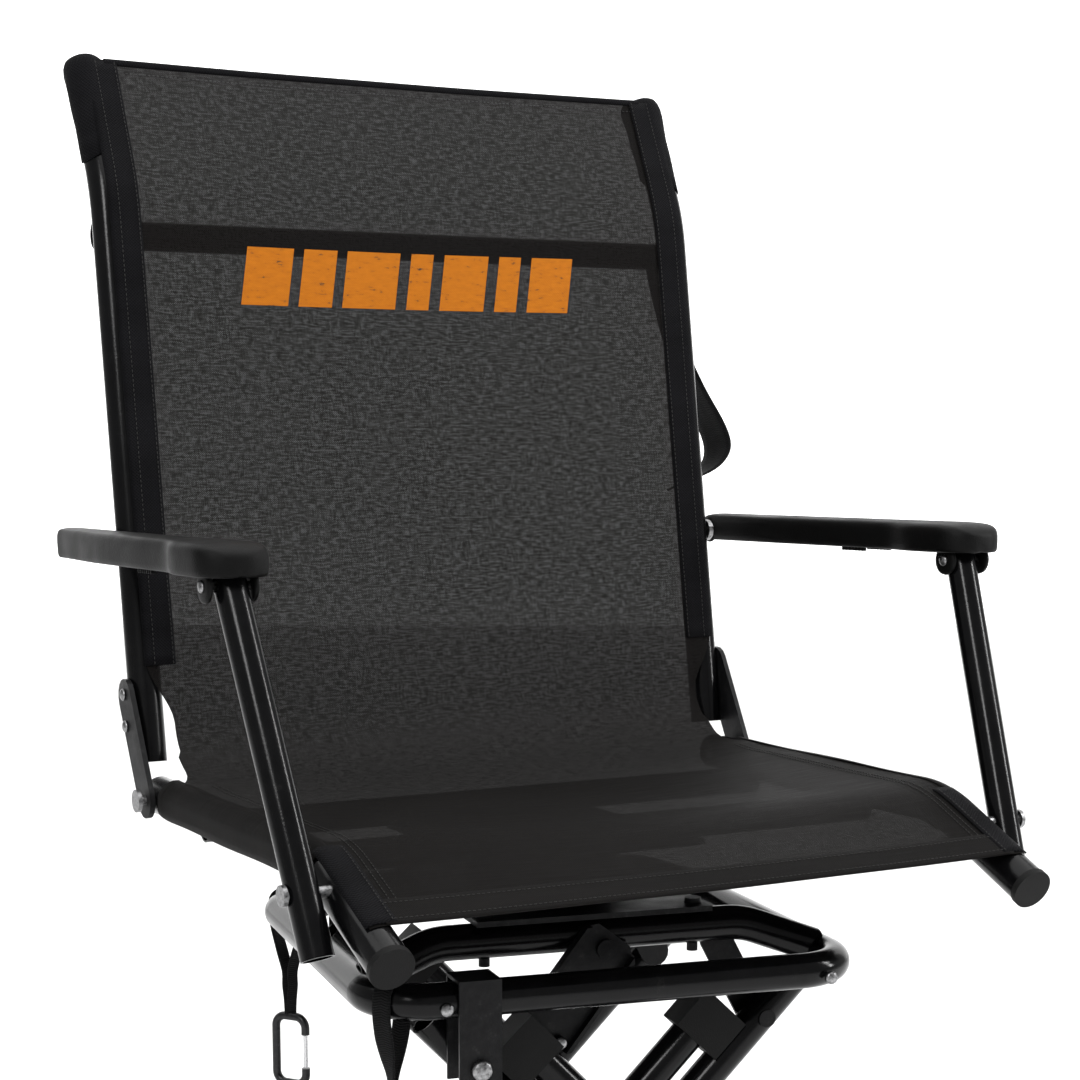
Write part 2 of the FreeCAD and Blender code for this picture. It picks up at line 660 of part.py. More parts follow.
def snap_hook():
    """Rounded link, open on one long side where the wire gate sits."""
    w, h, gate = val("hook_half_w"), val("hook_half_h"), val("gate_half") + 1
    path = [V(w, 0, gate), V(w, 0, h), V(-w, 0, h), V(-w, 0, -h), V(w, 0, -h), V(w, 0, -gate)]
    body = bent_tube("snap_hook", [hook_mid + point for point in path], val("hook_bend"), "hook_dia", None,
                     hook_place)
    return keep(body, "snap_hook")


def snap_gate():
    w, gate = val("hook_half_w"), val("gate_half")
    return keep(straight_tube("snap_gate", hook_mid + V(w, 0, -gate), hook_mid + V(w, 0, gate), "gate_dia", None,
                              hook_place), "snap_gate")


ring_tube(-1, "base_front_tube")
ring_tube(1, "base_rear_tube")
ring_sides()
bow(-1, "front_bow_tube")
bow(1, "rear_bow_tube")
lower_plate()
bearing()
base_ears()
base_fasteners()
latch_arm()
keep(together([strap_loop(rear_corner), strap_loop(front_corner)], "loops"), "strap_loops")
snap_hook()
snap_gate()

# ---------------------------------------------------------------- crossed legs
slope = math.radians(val("leg_slope"))
stub, length, gap = val("leg_stub"), val("leg_length"), val("reach_gap")
foot_run = (hinge_drop + gap * math.cos(slope) - val("foot_pin_z")) / math.sin(slope)


def leg_point(lean_way, run, lift, v):
    """Point on a leg: run down from its top pivot, lift towards the extension's side."""
    down = V(lean_way * math.cos(slope), 0, -math.sin(slope))
    up = V(lean_way * math.sin(slope), 0, math.cos(slope))
    top_u = inner_u if lean_way < 0 else outer_u
    return V(top_u, v, hinge_drop) + down * run + up * lift


cross_run = val("leg_top_half") / math.cos(slope)


def leg_tube(lean_way, v, label):
    tube = straight_tube(label + "_tube", leg_point(lean_way, -stub, 0, v),
                         leg_point(lean_way, length, 0, v), "frame_dia", "frame_bore", BASE)
    maker = tight if lean_way < 0 else bore
    holes = [bore(leg_point(lean_way, 0, 0, v), ALONG, 40, BASE),
             maker(leg_point(lean_way, cross_run, 0, v), ALONG, 40, BASE)]
    return keep(cut(tube, holes), label)


def leg_cross_tube(lean_way, v, label):
    inset = v - tube_r
    tube = straight_tube(label, leg_point(lean_way, val("cross_at"), 0, -inset),
                         leg_point(lean_way, val("cross_at"), 0, inset), "strut_dia", "strut_bore", BASE)
    return keep(tube, label)


def across_leg(lean_way, run, v):
    """Placement at a leg point: local X down the leg, local Z towards the extension's side."""
    down = leg_point(lean_way, 1, 0, 0) - leg_point(lean_way, 0, 0, 0)
    up = leg_point(lean_way, 0, 1, 0) - leg_point(lean_way, 0, 0, 0)
    return BASE.multiply(frame_along(leg_point(lean_way, run, 0, v), down, up))


def guide(lean_way, v, press_way):
    """Block on the main tube's lower end that the extension slides through, with the button's boss."""
    size = val("guide_length")
    half = val("cap_thick") / 2
    start = length - size
    place = across_leg(lean_way, start, v)
    body = block(V(0, -half, -tube_r - 2), (size, 2 * half, gap + 2 * tube_r + 6), place)
    side = press_way * (1 if lean_way * 1 > 0 else -1)
    boss = cylinder(V(size / 2, side * (half + 2), gap), ALONG, 8.0, 4.0, place)
    reach = tube_r + val("slide_gap")
    holes = [cylinder(V(size / 2, 0, 0), ACROSS, "dims.frame_dia / 2", size + 4, place),
             cylinder(V(size / 2, 0, gap), ACROSS, "dims.frame_dia / 2 + dims.slide_gap", size + 4, place),
             cylinder(V(size / 2, side * (half + 2), gap), ALONG, "dims.button_rad + dims.slide_gap",
                      2 * (half + 4 - reach) + 8, place)]
    return cut(fuse([body, boss]), holes)


def button_place(lean_way, v, press_way):
    place = across_leg(lean_way, length - val("guide_length") / 2, v)
    side = press_way * (1 if lean_way * 1 > 0 else -1)
    return place, side


def button(lean_way, v, press_way, label):
    place, side = button_place(lean_way, v, press_way)
    low = tube_r + val("slide_gap") + 3.2
    high = val("cap_thick") / 2 + 7.5
    rod = cylinder(V(0, side * (low + high) / 2, gap), ALONG, "dims.button_rad", high - low, place)
    return keep(rod, label)


def extension_tube(lean_way, v, label):
    tube = straight_tube(label, leg_point(lean_way, val("cap_start") + 2, gap, v),
                         leg_point(lean_way, foot_run - 24, gap, v), "frame_dia", "frame_bore", BASE)
    return keep(tube, label)


def extension_fittings(lean_way, v, label):
    """Top cap that rides on the main tube, and the fork with its pin at the foot."""
    half = val("cap_thick") / 2
    place = across_leg(lean_way, val("cap_start"), v)
    low = tube_r - 3
    cap = block(V(0, -half, low), (val("cap_length"), 2 * half, gap - low + tube_r + 5), place)
    seat = cylinder(V(20, 0, 0), ACROSS, "dims.frame_dia / 2 + dims.slide_gap", 80, place)
    socket = cylinder(V(2 + 30, 0, gap), ACROSS, "dims.frame_dia / 2", 60, place)
    cap = cut(cap, [seat, socket])
    fork_place = across_leg(lean_way, foot_run, v)
    plug = cylinder(V(-31, 0, gap), ACROSS, "dims.frame_bore / 2", 14, fork_place)
    neck = cylinder(V(-16, 0, gap), ACROSS, "dims.frame_dia / 2", 16, fork_place)
    tip = cylinder(V(0, 0, gap), ALONG, 9.5, 2 * tube_r - 1, fork_place)
    bridge = block(V(-14, -tube_r + 0.5, gap - 9.5), (14, 2 * tube_r - 1, 19), fork_place)
    slot = block(V(-12.5, -6.4, gap - 20), (40, 12.8, 40), fork_place)
    holes = [tight(V(0, 0, gap), ALONG, 60, fork_place)]
    fork = cut(fuse([plug, neck, tip, bridge]), [slot] + holes)
    axle = tight(V(0, 0, gap), ALONG, 2 * tube_r - 1, fork_place)
    return keep(together([cap, fork, axle], "fittings"), label)


def foot(lean_way, v, label):
    """Round foot on a lug between the fork's cheeks."""
    spot = leg_point(lean_way, foot_run, gap, v)
    pad = cylinder(V(spot.x, v, val("foot_thick") / 2), UP, "dims.foot_rad", val("foot_thick"), BASE)
    lug = cylinder(spot, ALONG, 9.0, 12.0, BASE)
    web = block(V(spot.x - 9, v - 6, val("foot_thick") - 1), (18, 12, spot.z - val("foot_thick") + 1), BASE)
    return keep(cut(fuse([pad, lug, web]), [bore(spot, ALONG, 40, BASE)]), label)


def cross_pins():
    pins = []
    inner, outer = val("inner_plane"), val("outer_plane")
    for way in (-1, 1):
        centre = leg_point(-1, cross_run, 0, way * (inner + outer) / 2)
        pins.append(pin(centre, ALONG * way, outer - inner + 2 * tube_r + 4, 7.0, BASE))
        gap_low, gap_high = inner + tube_r + 0.05, outer - tube_r - 0.3
        washer = cylinder(leg_point(-1, cross_run, 0, way * (gap_low + gap_high) / 2), ALONG, 8.0,
                          gap_high - gap_low, BASE)
        pins[-1] = fuse([pins[-1], washer])
    return keep(together(pins, "pins"), "leg_cross_pins")


def saddle(way, label):
    """Bracket that hooks over the ring tube and slides along it, with the outer leg's hinge pin."""
    u = outer_u
    top = ring_z + tube_r
    wide = 30.0
    near, far = ring - tube_r, ring + tube_r
    clear = 0.5
    plates = []
    for low, high in ((near - clear - 2.5, near - clear), (far + clear, far + clear + 2.5)):
        start = min(way * low, way * high)
        plates.append(block(V(u - wide / 2, start, hinge_drop - 13), (wide, 2.5, top + clear + 2.5 - hinge_drop + 13),
                            BASE))
    lid_low = min(way * (near - clear - 2.5), way * (far + clear + 2.5))
    plates.append(block(V(u - wide / 2, lid_low, top + clear), (wide, 2 * (tube_r + clear + 2.5), 2.5), BASE))
    outer = val("outer_plane")
    pin_far = far + clear + 2.5
    shank = cylinder(V(u, way * (pin_far + outer - tube_r - 1) / 2, hinge_drop), ALONG, "dims.pin_dia / 2",
                     pin_far - outer + tube_r + 1, BASE)
    head = cylinder(V(u, way * (pin_far + 1.5), hinge_drop), ALONG, 7.0, 3.0, BASE)
    tail = cylinder(V(u, way * (outer - tube_r - 1.75), hinge_drop), ALONG, 6.5, 1.5, BASE)
    return keep(fuse(plates + [shank, head, tail]), label)


inner, outer = val("inner_plane"), val("outer_plane")
for way, word in ((-1, "front"), (1, "rear")):
    leg_tube(-1, way * inner, "inner_leg_%s_tube" % word)
    leg_tube(1, way * outer, "outer_leg_%s_tube" % word)
    saddle(way, word + "_saddle")
    for lean_way, plane, kind, press in ((-1, inner, "inner", -way), (1, outer, "outer", way)):
        tag = "%s_%s" % (kind, word)
        extension_tube(lean_way, way * plane, tag + "_extension_tube")
        extension_fittings(lean_way, way * plane, tag + "_extension_fittings")
        button(lean_way, way * plane, press, tag + "_button")
        foot(lean_way, way * plane, tag + "_foot")
leg_cross_tube(-1, inner, "inner_leg_cross_tube")
leg_cross_tube(1, outer, "outer_leg_cross_tube")
cross_pins()
keep(together([guide(-1, -inner, 1), guide(-1, inner, -1)], "guides"), "inner_leg_guides")
keep(together([guide(1, -outer, -1), guide(1, outer, 1)], "guides"), "outer_leg_guides")

# ---------------------------------------------------------------- check and write
doc.recompute()
bad = [item.Label for item in doc.Objects if "Invalid" in item.State or "Error" in item.State]
if bad:
    raise RuntimeError("broken features: %s" % bad)
os.makedirs("parts", exist_ok=True)
low, high = V(1e9, 1e9, 1e9), V(-1e9, -1e9, -1e9)
for node in nodes:
    shape = node.Shape
    if shape.isNull() or not shape.isValid():
        raise RuntimeError("bad shape: %s" % node.Label)
    shape.exportStep("parts/%s.step" % node.Label)
    box = shape.BoundBox
    low = V(min(low.x, box.XMin), min(low.y, box.YMin), min(low.z, box.ZMin))
    high = V(max(high.x, box.XMax), max(high.y, box.YMax), max(high.z, box.ZMax))
print(len(nodes), "nodes; box", low, high)
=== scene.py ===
import math

import bpy
from mathutils import Matrix, Vector


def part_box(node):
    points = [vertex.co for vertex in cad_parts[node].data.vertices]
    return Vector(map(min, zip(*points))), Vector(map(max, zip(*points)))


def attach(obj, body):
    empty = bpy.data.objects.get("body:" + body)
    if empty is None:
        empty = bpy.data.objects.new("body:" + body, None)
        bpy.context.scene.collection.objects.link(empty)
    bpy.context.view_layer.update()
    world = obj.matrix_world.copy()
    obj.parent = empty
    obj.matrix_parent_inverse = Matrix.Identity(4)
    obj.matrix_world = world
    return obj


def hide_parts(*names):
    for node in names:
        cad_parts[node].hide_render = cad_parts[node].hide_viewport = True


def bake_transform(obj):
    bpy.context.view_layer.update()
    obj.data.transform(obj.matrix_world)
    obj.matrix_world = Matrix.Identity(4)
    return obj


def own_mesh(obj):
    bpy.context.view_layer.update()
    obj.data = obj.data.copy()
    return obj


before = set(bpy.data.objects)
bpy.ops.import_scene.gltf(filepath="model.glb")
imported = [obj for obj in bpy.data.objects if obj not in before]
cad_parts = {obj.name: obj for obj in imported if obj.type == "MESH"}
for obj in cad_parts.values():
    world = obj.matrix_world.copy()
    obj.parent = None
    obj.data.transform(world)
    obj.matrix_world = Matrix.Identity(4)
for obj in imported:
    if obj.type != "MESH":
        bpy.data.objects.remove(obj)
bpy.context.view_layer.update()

MM = 0.001


def middle(node):
    low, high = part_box(node)
    return (Vector(low) + Vector(high)) / 2


RAIL_TAIL, RAIL_LIFT, RAIL_DIA = 16.0, 2.5, 28.6
rail_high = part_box("right_seat_rail")[1]
SEAT = Vector((0, rail_high[1] - RAIL_TAIL * MM, rail_high[2] - (RAIL_DIA / 2 + RAIL_LIFT) * MM))
SWIVEL = middle("swivel_bearing")
RING_Z = middle("base_side_tubes").z
BASE_TURN = Matrix.Rotation(math.radians(-10), 3, "Z")

# ---------------------------------------------------------------- camera
CAMERA_BACK = Vector((-0.4742, -0.8672, 0.1521))
CAMERA_TARGET = Vector((-0.0088, SEAT.y - 0.150, 0.5029))
CAMERA_DISTANCE = 1.7

camera_data = bpy.data.cameras.new("camera")
camera_data.sensor_width = 36.0
camera_data.lens = 75.93
camera_data.shift_x = -0.0046
camera_data.shift_y = 0.2176
camera = bpy.data.objects.new("camera", camera_data)
bpy.context.scene.collection.objects.link(camera)
camera.location = CAMERA_TARGET + CAMERA_BACK * CAMERA_DISTANCE
camera.rotation_euler = (-CAMERA_BACK).to_track_quat("-Z", "Y").to_euler()
bpy.context.scene.camera = camera


# ---------------------------------------------------------------- materials
WEAVE_U, WEAVE_V = 0.0017, 0.0015


class Look:
    """A material being put together: its principled shader and short ways to add nodes."""

    def __init__(self, name, base, roughness, metallic=0.0, specular=0.5):
        self.made = bpy.data.materials.new(name)
        self.made.use_nodes = True
        self.tree = self.made.node_tree
        self.shader = self.tree.nodes["Principled BSDF"]
        self.set("Base Color", (*base, 1.0))
        self.set("Roughness", roughness)
        self.set("Metallic", metallic)
        self.set("Specular IOR Level", specular)

    def set(self, socket, value):
        self.shader.inputs[socket].default_value = value

    def plug(self, output, socket):
        self.tree.links.new(output, self.shader.inputs[socket])

    def node(self, kind, **values):
        made = self.tree.nodes.new("ShaderNode" + kind)
        for key, value in values.items():
            setattr(made, key, value)
        return made

    def feed(self, node, index, source):
        if isinstance(source, (int, float)):
            node.inputs[index].default_value = source
        else:
            self.tree.links.new(source, node.inputs[index])

    def math(self, how, a, b=0.0, c=None):
        node = self.node("Math", operation=how)
        self.feed(node, 0, a)
        self.feed(node, 1, b)
        if c is not None:
            self.feed(node, 2, c)
        return node.outputs[0]

    def place(self, kind="Object", stretch=(1, 1, 1)):
        spot = self.node("TexCoord").outputs[kind]
        mapping = self.node("Mapping")
        mapping.inputs["Scale"].default_value = stretch
        self.tree.links.new(spot, mapping.inputs["Vector"])
        return mapping.outputs[0]

    def noise(self, where, scale, detail=3.0, rough=0.55):
        node = self.node("TexNoise")
        self.tree.links.new(where, node.inputs["Vector"])
        node.inputs["Scale"].default_value = scale
        node.inputs["Detail"].default_value = detail
        node.inputs["Roughness"].default_value = rough
        return node.outputs["Fac"]

    def ramp(self, source, stops):
        node = self.node("ValToRGB")
        line = node.color_ramp
        while len(line.elements) < len(stops):
            line.elements.new(0.5)
        for element, (spot, colour) in zip(line.elements, stops):
            element.position = spot
            element.color = (*colour, 1.0)
        self.tree.links.new(source, node.inputs[0])
        return node.outputs["Color"]

    def between(self, source, low, high, from_low=0.3, from_high=0.7):
        node = self.node("MapRange")
        self.tree.links.new(source, node.inputs["Value"])
        for index, value in zip((1, 2, 3, 4), (from_low, from_high, low, high)):
            node.inputs[index].default_value = value
        return node.outputs[0]

    def bump(self, height, strength, distance):
        node = self.node("Bump")
        node.inputs["Strength"].default_value = strength
        node.inputs["Distance"].default_value = distance
        self.tree.links.new(height, node.inputs["Height"])
        self.plug(node.outputs[0], "Normal")
        return node


def painted_steel():
    look = Look("black_tube_paint", (0.002, 0.002, 0.0023), 0.20, specular=0.15)
    spot = look.place()
    cloud = look.noise(spot, 9.0, 5.0)
    look.plug(look.between(cloud, 0.13, 0.27), "Roughness")
    dust = look.noise(spot, 60.0, 6.0, 0.7)
    look.plug(look.ramp(dust, [(0.35, (0.0015, 0.0015, 0.0017)), (0.62, (0.0028, 0.0028, 0.0031)),
                               (0.80, (0.010, 0.0096, 0.0093))]), "Base Color")
    look.bump(look.noise(spot, 650.0, 2.0), 0.10, 0.0006)
    look.set("Coat Weight", 0.03)
    look.set("Coat Roughness", 0.12)
    return look.made


def plate_steel():
    look = Look("black_plate_paint", (0.010, 0.010, 0.0105), 0.48, specular=0.15)
    spot = look.place()
    wear = look.noise(spot, 140.0, 6.0, 0.7)
    look.plug(look.ramp(wear, [(0.40, (0.004, 0.004, 0.0045)), (0.60, (0.008, 0.008, 0.0085)),
                               (0.78, (0.030, 0.029, 0.028))]), "Base Color")
    look.plug(look.between(look.noise(spot, 25.0, 4.0), 0.36, 0.60), "Roughness")
    look.bump(look.noise(spot, 900.0, 3.0), 0.25, 0.0006)
    return look.made


def zinc():
    look = Look("zinc_fastener", (0.42, 0.42, 0.43), 0.34, metallic=1.0)
    spot = look.place()
    patch = look.noise(spot, 420.0, 4.0)
    look.plug(look.ramp(patch, [(0.30, (0.12, 0.12, 0.12)), (0.55, (0.27, 0.27, 0.275)),
                                (0.80, (0.46, 0.455, 0.45))]), "Base Color")
    look.plug(look.between(patch, 0.24, 0.48), "Roughness")
    look.bump(look.noise(spot, 1600.0, 2.0), 0.12, 0.0003)
    return look.made


def hook_metal():
    look = Look("hook_black_metal", (0.020, 0.020, 0.021), 0.30, metallic=0.6)
    spot = look.place()
    scuff = look.noise(spot, 260.0, 6.0, 0.75)
    look.plug(look.ramp(scuff, [(0.45, (0.014, 0.014, 0.015)), (0.66, (0.030, 0.030, 0.031)),
                                (0.80, (0.22, 0.22, 0.22))]), "Base Color")
    look.plug(look.between(scuff, 0.22, 0.46), "Roughness")
    look.bump(scuff, 0.08, 0.0004)
    return look.made


def gate_wire():
    look = Look("gate_bright_wire", (0.55, 0.55, 0.56), 0.25, metallic=1.0)
    grain = look.noise(look.place(stretch=(1, 1, 0.1)), 2400.0, 2.0)
    look.plug(look.between(grain, 0.18, 0.34), "Roughness")
    look.bump(grain, 0.06, 0.0002)
    return look.made


def plastic(name, shade, low, high, grain, depth):
    look = Look(name, (shade, shade, shade * 1.03), (low + high) / 2, specular=0.10)
    spot = look.place()
    pebble = look.node("TexVoronoi", feature="SMOOTH_F1")
    look.tree.links.new(spot, pebble.inputs["Vector"])
    pebble.inputs["Scale"].default_value = grain
    soft = look.noise(spot, 18.0, 5.0)
    look.plug(look.between(soft, low, high), "Roughness")
    look.plug(look.ramp(soft, [(0.3, (shade * 0.8,) * 3), (0.7, (shade * 1.25,) * 3)]), "Base Color")
    look.bump(pebble.outputs["Distance"], depth, 0.0005)
    return look.made


def woven(name, dark, light, pitch_u, pitch_v, roughness, see_through=0.0, streak=0.35, depth=0.5):
    """Plain weave from a UV map in metres: warp along V, weft along U, with uneven weft yarns."""
    look = Look(name, light, roughness, specular=0.05)
    split = look.node("SeparateXYZ")
    look.tree.links.new(look.node("TexCoord").outputs["UV"], split.inputs[0])
    u, v = split.outputs[0], split.outputs[1]
    across = look.math("SINE", look.math("MULTIPLY", u, 2 * math.pi / pitch_u))
    along = look.math("SINE", look.math("MULTIPLY", v, 2 * math.pi / pitch_v))
    over = look.math("MULTIPLY", across, along)
    crown = look.math("ADD", look.math("MULTIPLY", over, 0.5), 0.5)
    slub = look.noise(look.place("UV", (22, 900, 1)), 1.0, 3.0, 0.6)
    drift = look.noise(look.place("UV", (5, 28, 1)), 1.0, 4.0, 0.6)
    warp = look.noise(look.place("UV", (700, 9, 1)), 1.0, 2.0, 0.5)
    yarn = look.math("MULTIPLY_ADD", slub, streak * 1.6, look.math("MULTIPLY", warp, streak * 0.5))
    tone = look.math("ADD", look.math("MULTIPLY", crown, 0.36), look.math("ADD", yarn,
                     look.math("MULTIPLY_ADD", drift, 0.5, -0.42)))
    look.plug(look.ramp(tone, [(0.10, dark), (0.75, light)]), "Base Color")
    look.plug(look.between(slub, roughness - 0.08, roughness + 0.12), "Roughness")
    look.bump(look.math("ADD", crown, look.math("MULTIPLY", slub, 0.6)), depth, 0.0005)
    look.set("Sheen Weight", 0.01)
    look.set("Sheen Roughness", 0.5)
    if see_through:
        taut = look.between(v, 0.52, 1.0, 0.36, 0.46)
        weft = look.noise(look.place("UV", (120, 700, 1)), 1.0, 3.0, 0.65)
        ends = look.noise(look.place("UV", (650, 150, 1)), 1.0, 3.0, 0.65)
        fleck = look.math("ADD", look.math("MULTIPLY", weft, 0.6), look.math("MULTIPLY", ends, 0.4))
        open_share = look.between(fleck, 0.25, 1.75, 0.40, 0.60)
        gap = look.math("MULTIPLY", look.math("SUBTRACT", 1.0, crown), open_share)
        hole = look.math("MULTIPLY", look.math("MULTIPLY", gap, taut), see_through * 2)
        look.plug(look.math("SUBTRACT", 1.0, hole), "Alpha")
    return look.made


def webbing(name, dark, light, rib):
    """Ribbed polyester tape from a UV map in metres, V along the tape."""
    look = Look(name, light, 0.72, specular=0.10)
    split = look.node("SeparateXYZ")
    look.tree.links.new(look.node("TexCoord").outputs["UV"], split.inputs[0])
    slant = look.math("ADD", look.math("MULTIPLY", split.outputs[1], 2 * math.pi / rib),
                      look.math("MULTIPLY", look.math("PINGPONG", split.outputs[0], rib * 3), 900))
    wave = look.math("MULTIPLY_ADD", look.math("SINE", slant), 0.5, 0.5)
    fuzz = look.noise(look.place("UV", (600, 600, 1)), 1.0, 4.0, 0.7)
    tone = look.math("MULTIPLY_ADD", fuzz, 0.6, look.math("MULTIPLY", wave, 0.5))
    look.plug(look.ramp(tone, [(0.25, dark), (0.85, light)]), "Base Color")
    look.bump(look.math("ADD", wave, look.math("MULTIPLY", fuzz, 0.5)), 0.6, 0.0006)
    look.set("Sheen Weight", 0.015)
    return look.made


def print_ink():
    """Orange ink on the weave, rubbed through in specks."""
    look = Look("orange_print", (0.44, 0.137, 0.006), 0.6, specular=0.10)
    spot = look.place("UV")
    rub = look.noise(look.place("UV", (90, 260, 1)), 1.0, 6.0, 0.75)
    look.plug(look.ramp(rub, [(0.30, (0.45, 0.138, 0.005)), (0.60, (0.37, 0.110, 0.004)),
                              (0.655, (0.03, 0.026, 0.022))]), "Base Color")
    split = look.node("SeparateXYZ")
    look.tree.links.new(spot, split.inputs[0])
    across = look.math("SINE", look.math("MULTIPLY", split.outputs[0], 2 * math.pi / WEAVE_U))
    along = look.math("SINE", look.math("MULTIPLY", split.outputs[1], 2 * math.pi / WEAVE_V))
    weave = look.math("MULTIPLY", across, along)
    look.bump(weave, 0.35, 0.0004)
    return look.made


def thread():
    look = Look("sewing_thread", (0.045, 0.043, 0.040), 0.6, specular=0.3)
    twist = look.noise(look.place(), 2600.0, 2.0)
    look.plug(look.ramp(twist, [(0.35, (0.008, 0.008, 0.008)), (0.70, (0.026, 0.025, 0.023))]),
              "Base Color")
    look.bump(twist, 0.5, 0.0003)
    return look.made


def studio_floor():
    look = Look("studio_floor", (0.86, 0.86, 0.86), 0.75, specular=0.2)
    tint = look.noise(look.place(), 0.8, 3.0)
    look.plug(look.ramp(tint, [(0.3, (0.90, 0.90, 0.90)), (0.7, (0.92, 0.92, 0.92))]), "Base Color")
    return look.made


TUBE, PLATE, ZINC = painted_steel(), plate_steel(), zinc()
HOOK, GATE, THREAD, INK = hook_metal(), gate_wire(), thread(), print_ink()
CAP = plastic("matte_cap_plastic", 0.0065, 0.50, 0.66, 1500.0, 0.35)
ARM = plastic("armrest_moulding", 0.0022, 0.40, 0.58, 1100.0, 0.30)
BLOCK = plastic("glide_block_plastic", 0.006, 0.45, 0.62, 1300.0, 0.30)
MESH = woven("sling_mesh", (0.0004, 0.0004, 0.0004), (0.0040, 0.0034, 0.0031), WEAVE_U, WEAVE_V, 0.62,
             see_through=0.0182, streak=0.7)
SLEEVE = woven("sleeve_mesh", (0.0006, 0.0006, 0.0006), (0.0105, 0.0094, 0.0088), WEAVE_U, WEAVE_V, 0.66)
HEM = woven("edge_tape", (0.0010, 0.0010, 0.0013), (0.0090, 0.0088, 0.0104), 0.0026, 0.0024, 0.68,
            streak=0.3, depth=0.8)
WEB = webbing("strap_webbing", (0.0012, 0.0012, 0.0013), (0.0075, 0.0075, 0.0078), 0.0018)

LOOKS = {
    "cap": CAP, "feet": CAP, "foot": CAP, "guides": BLOCK, "bearing": BLOCK, "fittings": BLOCK,
    "button": ZINC, "fasteners": PLATE, "pins": ZINC, "rivet": ZINC, "studs": ZINC,
    "brackets": PLATE, "plate": PLATE, "ears": PLATE, "saddle": PLATE, "latch_arm": PLATE,
    "snap_hook": HOOK, "snap_gate": GATE, "rail": TUBE, "tube": TUBE, "strut": TUBE,
}
for name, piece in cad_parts.items():
    look = next((made for key, made in LOOKS.items() if key in name.replace("rail_end_caps", "cap")), CAP)
    piece.data.materials.clear()
    piece.data.materials.append(look)


# ---------------------------------------------------------------- mesh helpers
def add_mesh(name, points, faces, look, body, spread=None, smooth=True):
    """A mesh object from points and faces; spread holds one UV pair in metres for each point."""
    data = bpy.data.meshes.new(name)
    data.from_pydata([tuple(point) for point in points], [], faces)
    if spread:
        layer = data.uv_layers.new(name="UVMap")
        for loop in data.loops:
            layer.data[loop.index].uv = spread[loop.vertex_index]
    data.materials.append(look)
    for face in data.polygons:
        face.use_smooth = smooth
    data.update()
    made = bpy.data.objects.new(name, data)
    bpy.context.scene.collection.objects.link(made)
    if body:
        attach(made, body)
    return made


def grid(rows, columns, closed=False):
    """Quads over rows of points; closed joins each row's last point to its first."""
    faces = []
    for row in range(rows - 1):
        for column in range(columns if closed else columns - 1):
            after = (column + 1) % columns
            faces.append((row * columns + column, row * columns + after,
                          (row + 1) * columns + after, (row + 1) * columns + column))
    return faces


def thicken(piece, thickness, offset=0.0):
    wall = piece.modifiers.new("thickness", "SOLIDIFY")
    wall.thickness = thickness
    wall.offset = offset
    return piece


def round_off(piece, width, segments=2):
    edge = piece.modifiers.new("edge", "BEVEL")
    edge.width = width
    edge.segments = segments
    edge.limit_method = "ANGLE"
    return piece


def turned(name, spots, profile, look, body, sides=20):
    """Lathe-turned heads: profile is (radius, height) pairs, spots are (place, axis) pairs."""
    points, faces = [], []
    for place, axis in spots:
        side = axis.orthogonal().normalized()
        other = axis.cross(side)
        base = len(points)
        for radius, height in profile:
            for step in range(sides):
                turn = 2 * math.pi * step / sides
                out = side * math.cos(turn) + other * math.sin(turn)
                points.append(place + axis * height + out * radius)
        faces += [tuple(base + index for index in face) for face in grid(len(profile), sides, True)]
        faces.append(tuple(base + (len(profile) - 1) * sides + step for step in range(sides)))
    return add_mesh(name, points, faces, look, body)


def smooth_line(points, count):
    """Points evenly spread along a soft curve through the given ones."""
    padded = [points[0] * 2 - points[1]] + list(points) + [points[-1] * 2 - points[-2]]
    dense = []
    for a, b, c, d in zip(padded, padded[1:], padded[2:], padded[3:]):
        for step in range(16):
            t = step / 16
            dense.append(0.5 * ((2 * b) + (c - a) * t + (2 * a - 5 * b + 4 * c - d) * t * t
                                + (3 * b - a - 3 * c + d) * t ** 3))
    dense.append(points[-1])
    return evenly(dense, count)


def evenly(dense, count):
    runs = [0.0]
    for a, b in zip(dense, dense[1:]):
        runs.append(runs[-1] + (b - a).length)
    out, index = [], 0
    for step in range(count):
        goal = runs[-1] * step / (count - 1)
        while index < len(runs) - 2 and runs[index + 1] < goal:
            index += 1
        part = (goal - runs[index]) / max(runs[index + 1] - runs[index], 1e-9)
        out.append(dense[index].lerp(dense[index + 1], min(part, 1.0)))
    return out


def length_of(points):
    return sum((b - a).length for a, b in zip(points, points[1:]))


def tape(name, line, flat_way, widths, thickness, look, body):
    """Flat webbing along a line; flat_way gives the across direction at each point."""
    points, spread, run = [], [], 0.0
    across = 7
    for index, spot in enumerate(line):
        if index:
            run += (spot - line[index - 1]).length
        way, width = flat_way(index), widths(index)
        for step in range(across):
            offset = (step / (across - 1) - 0.5) * width
            points.append(spot + way * offset)
            spread.append((offset, run))
    made = add_mesh(name, points, grid(len(line), across), look, body, spread)
    thicken(made, thickness)
    return made


# ---------------------------------------------------------------- sling
RAIL_HALF, RAIL_RAD = 250.0, 14.3
BACK_HALF, BACK_RAD = 252.0, 12.7
CLOTH = 0.9
FRONT = Vector((-376.0, -35.4))
SEAT_BEND = Vector((-290.0, 2.5))
CREASE = Vector((31.28, 2.5))
BACK_BEND = Vector((103.0, 456.0))
BACK_TOP = Vector((150.0, 554.0))
CREASE_ROUND = 52.0
BESIDE_BRACKET, SLEEVE_THICK = 0.22, 0.4


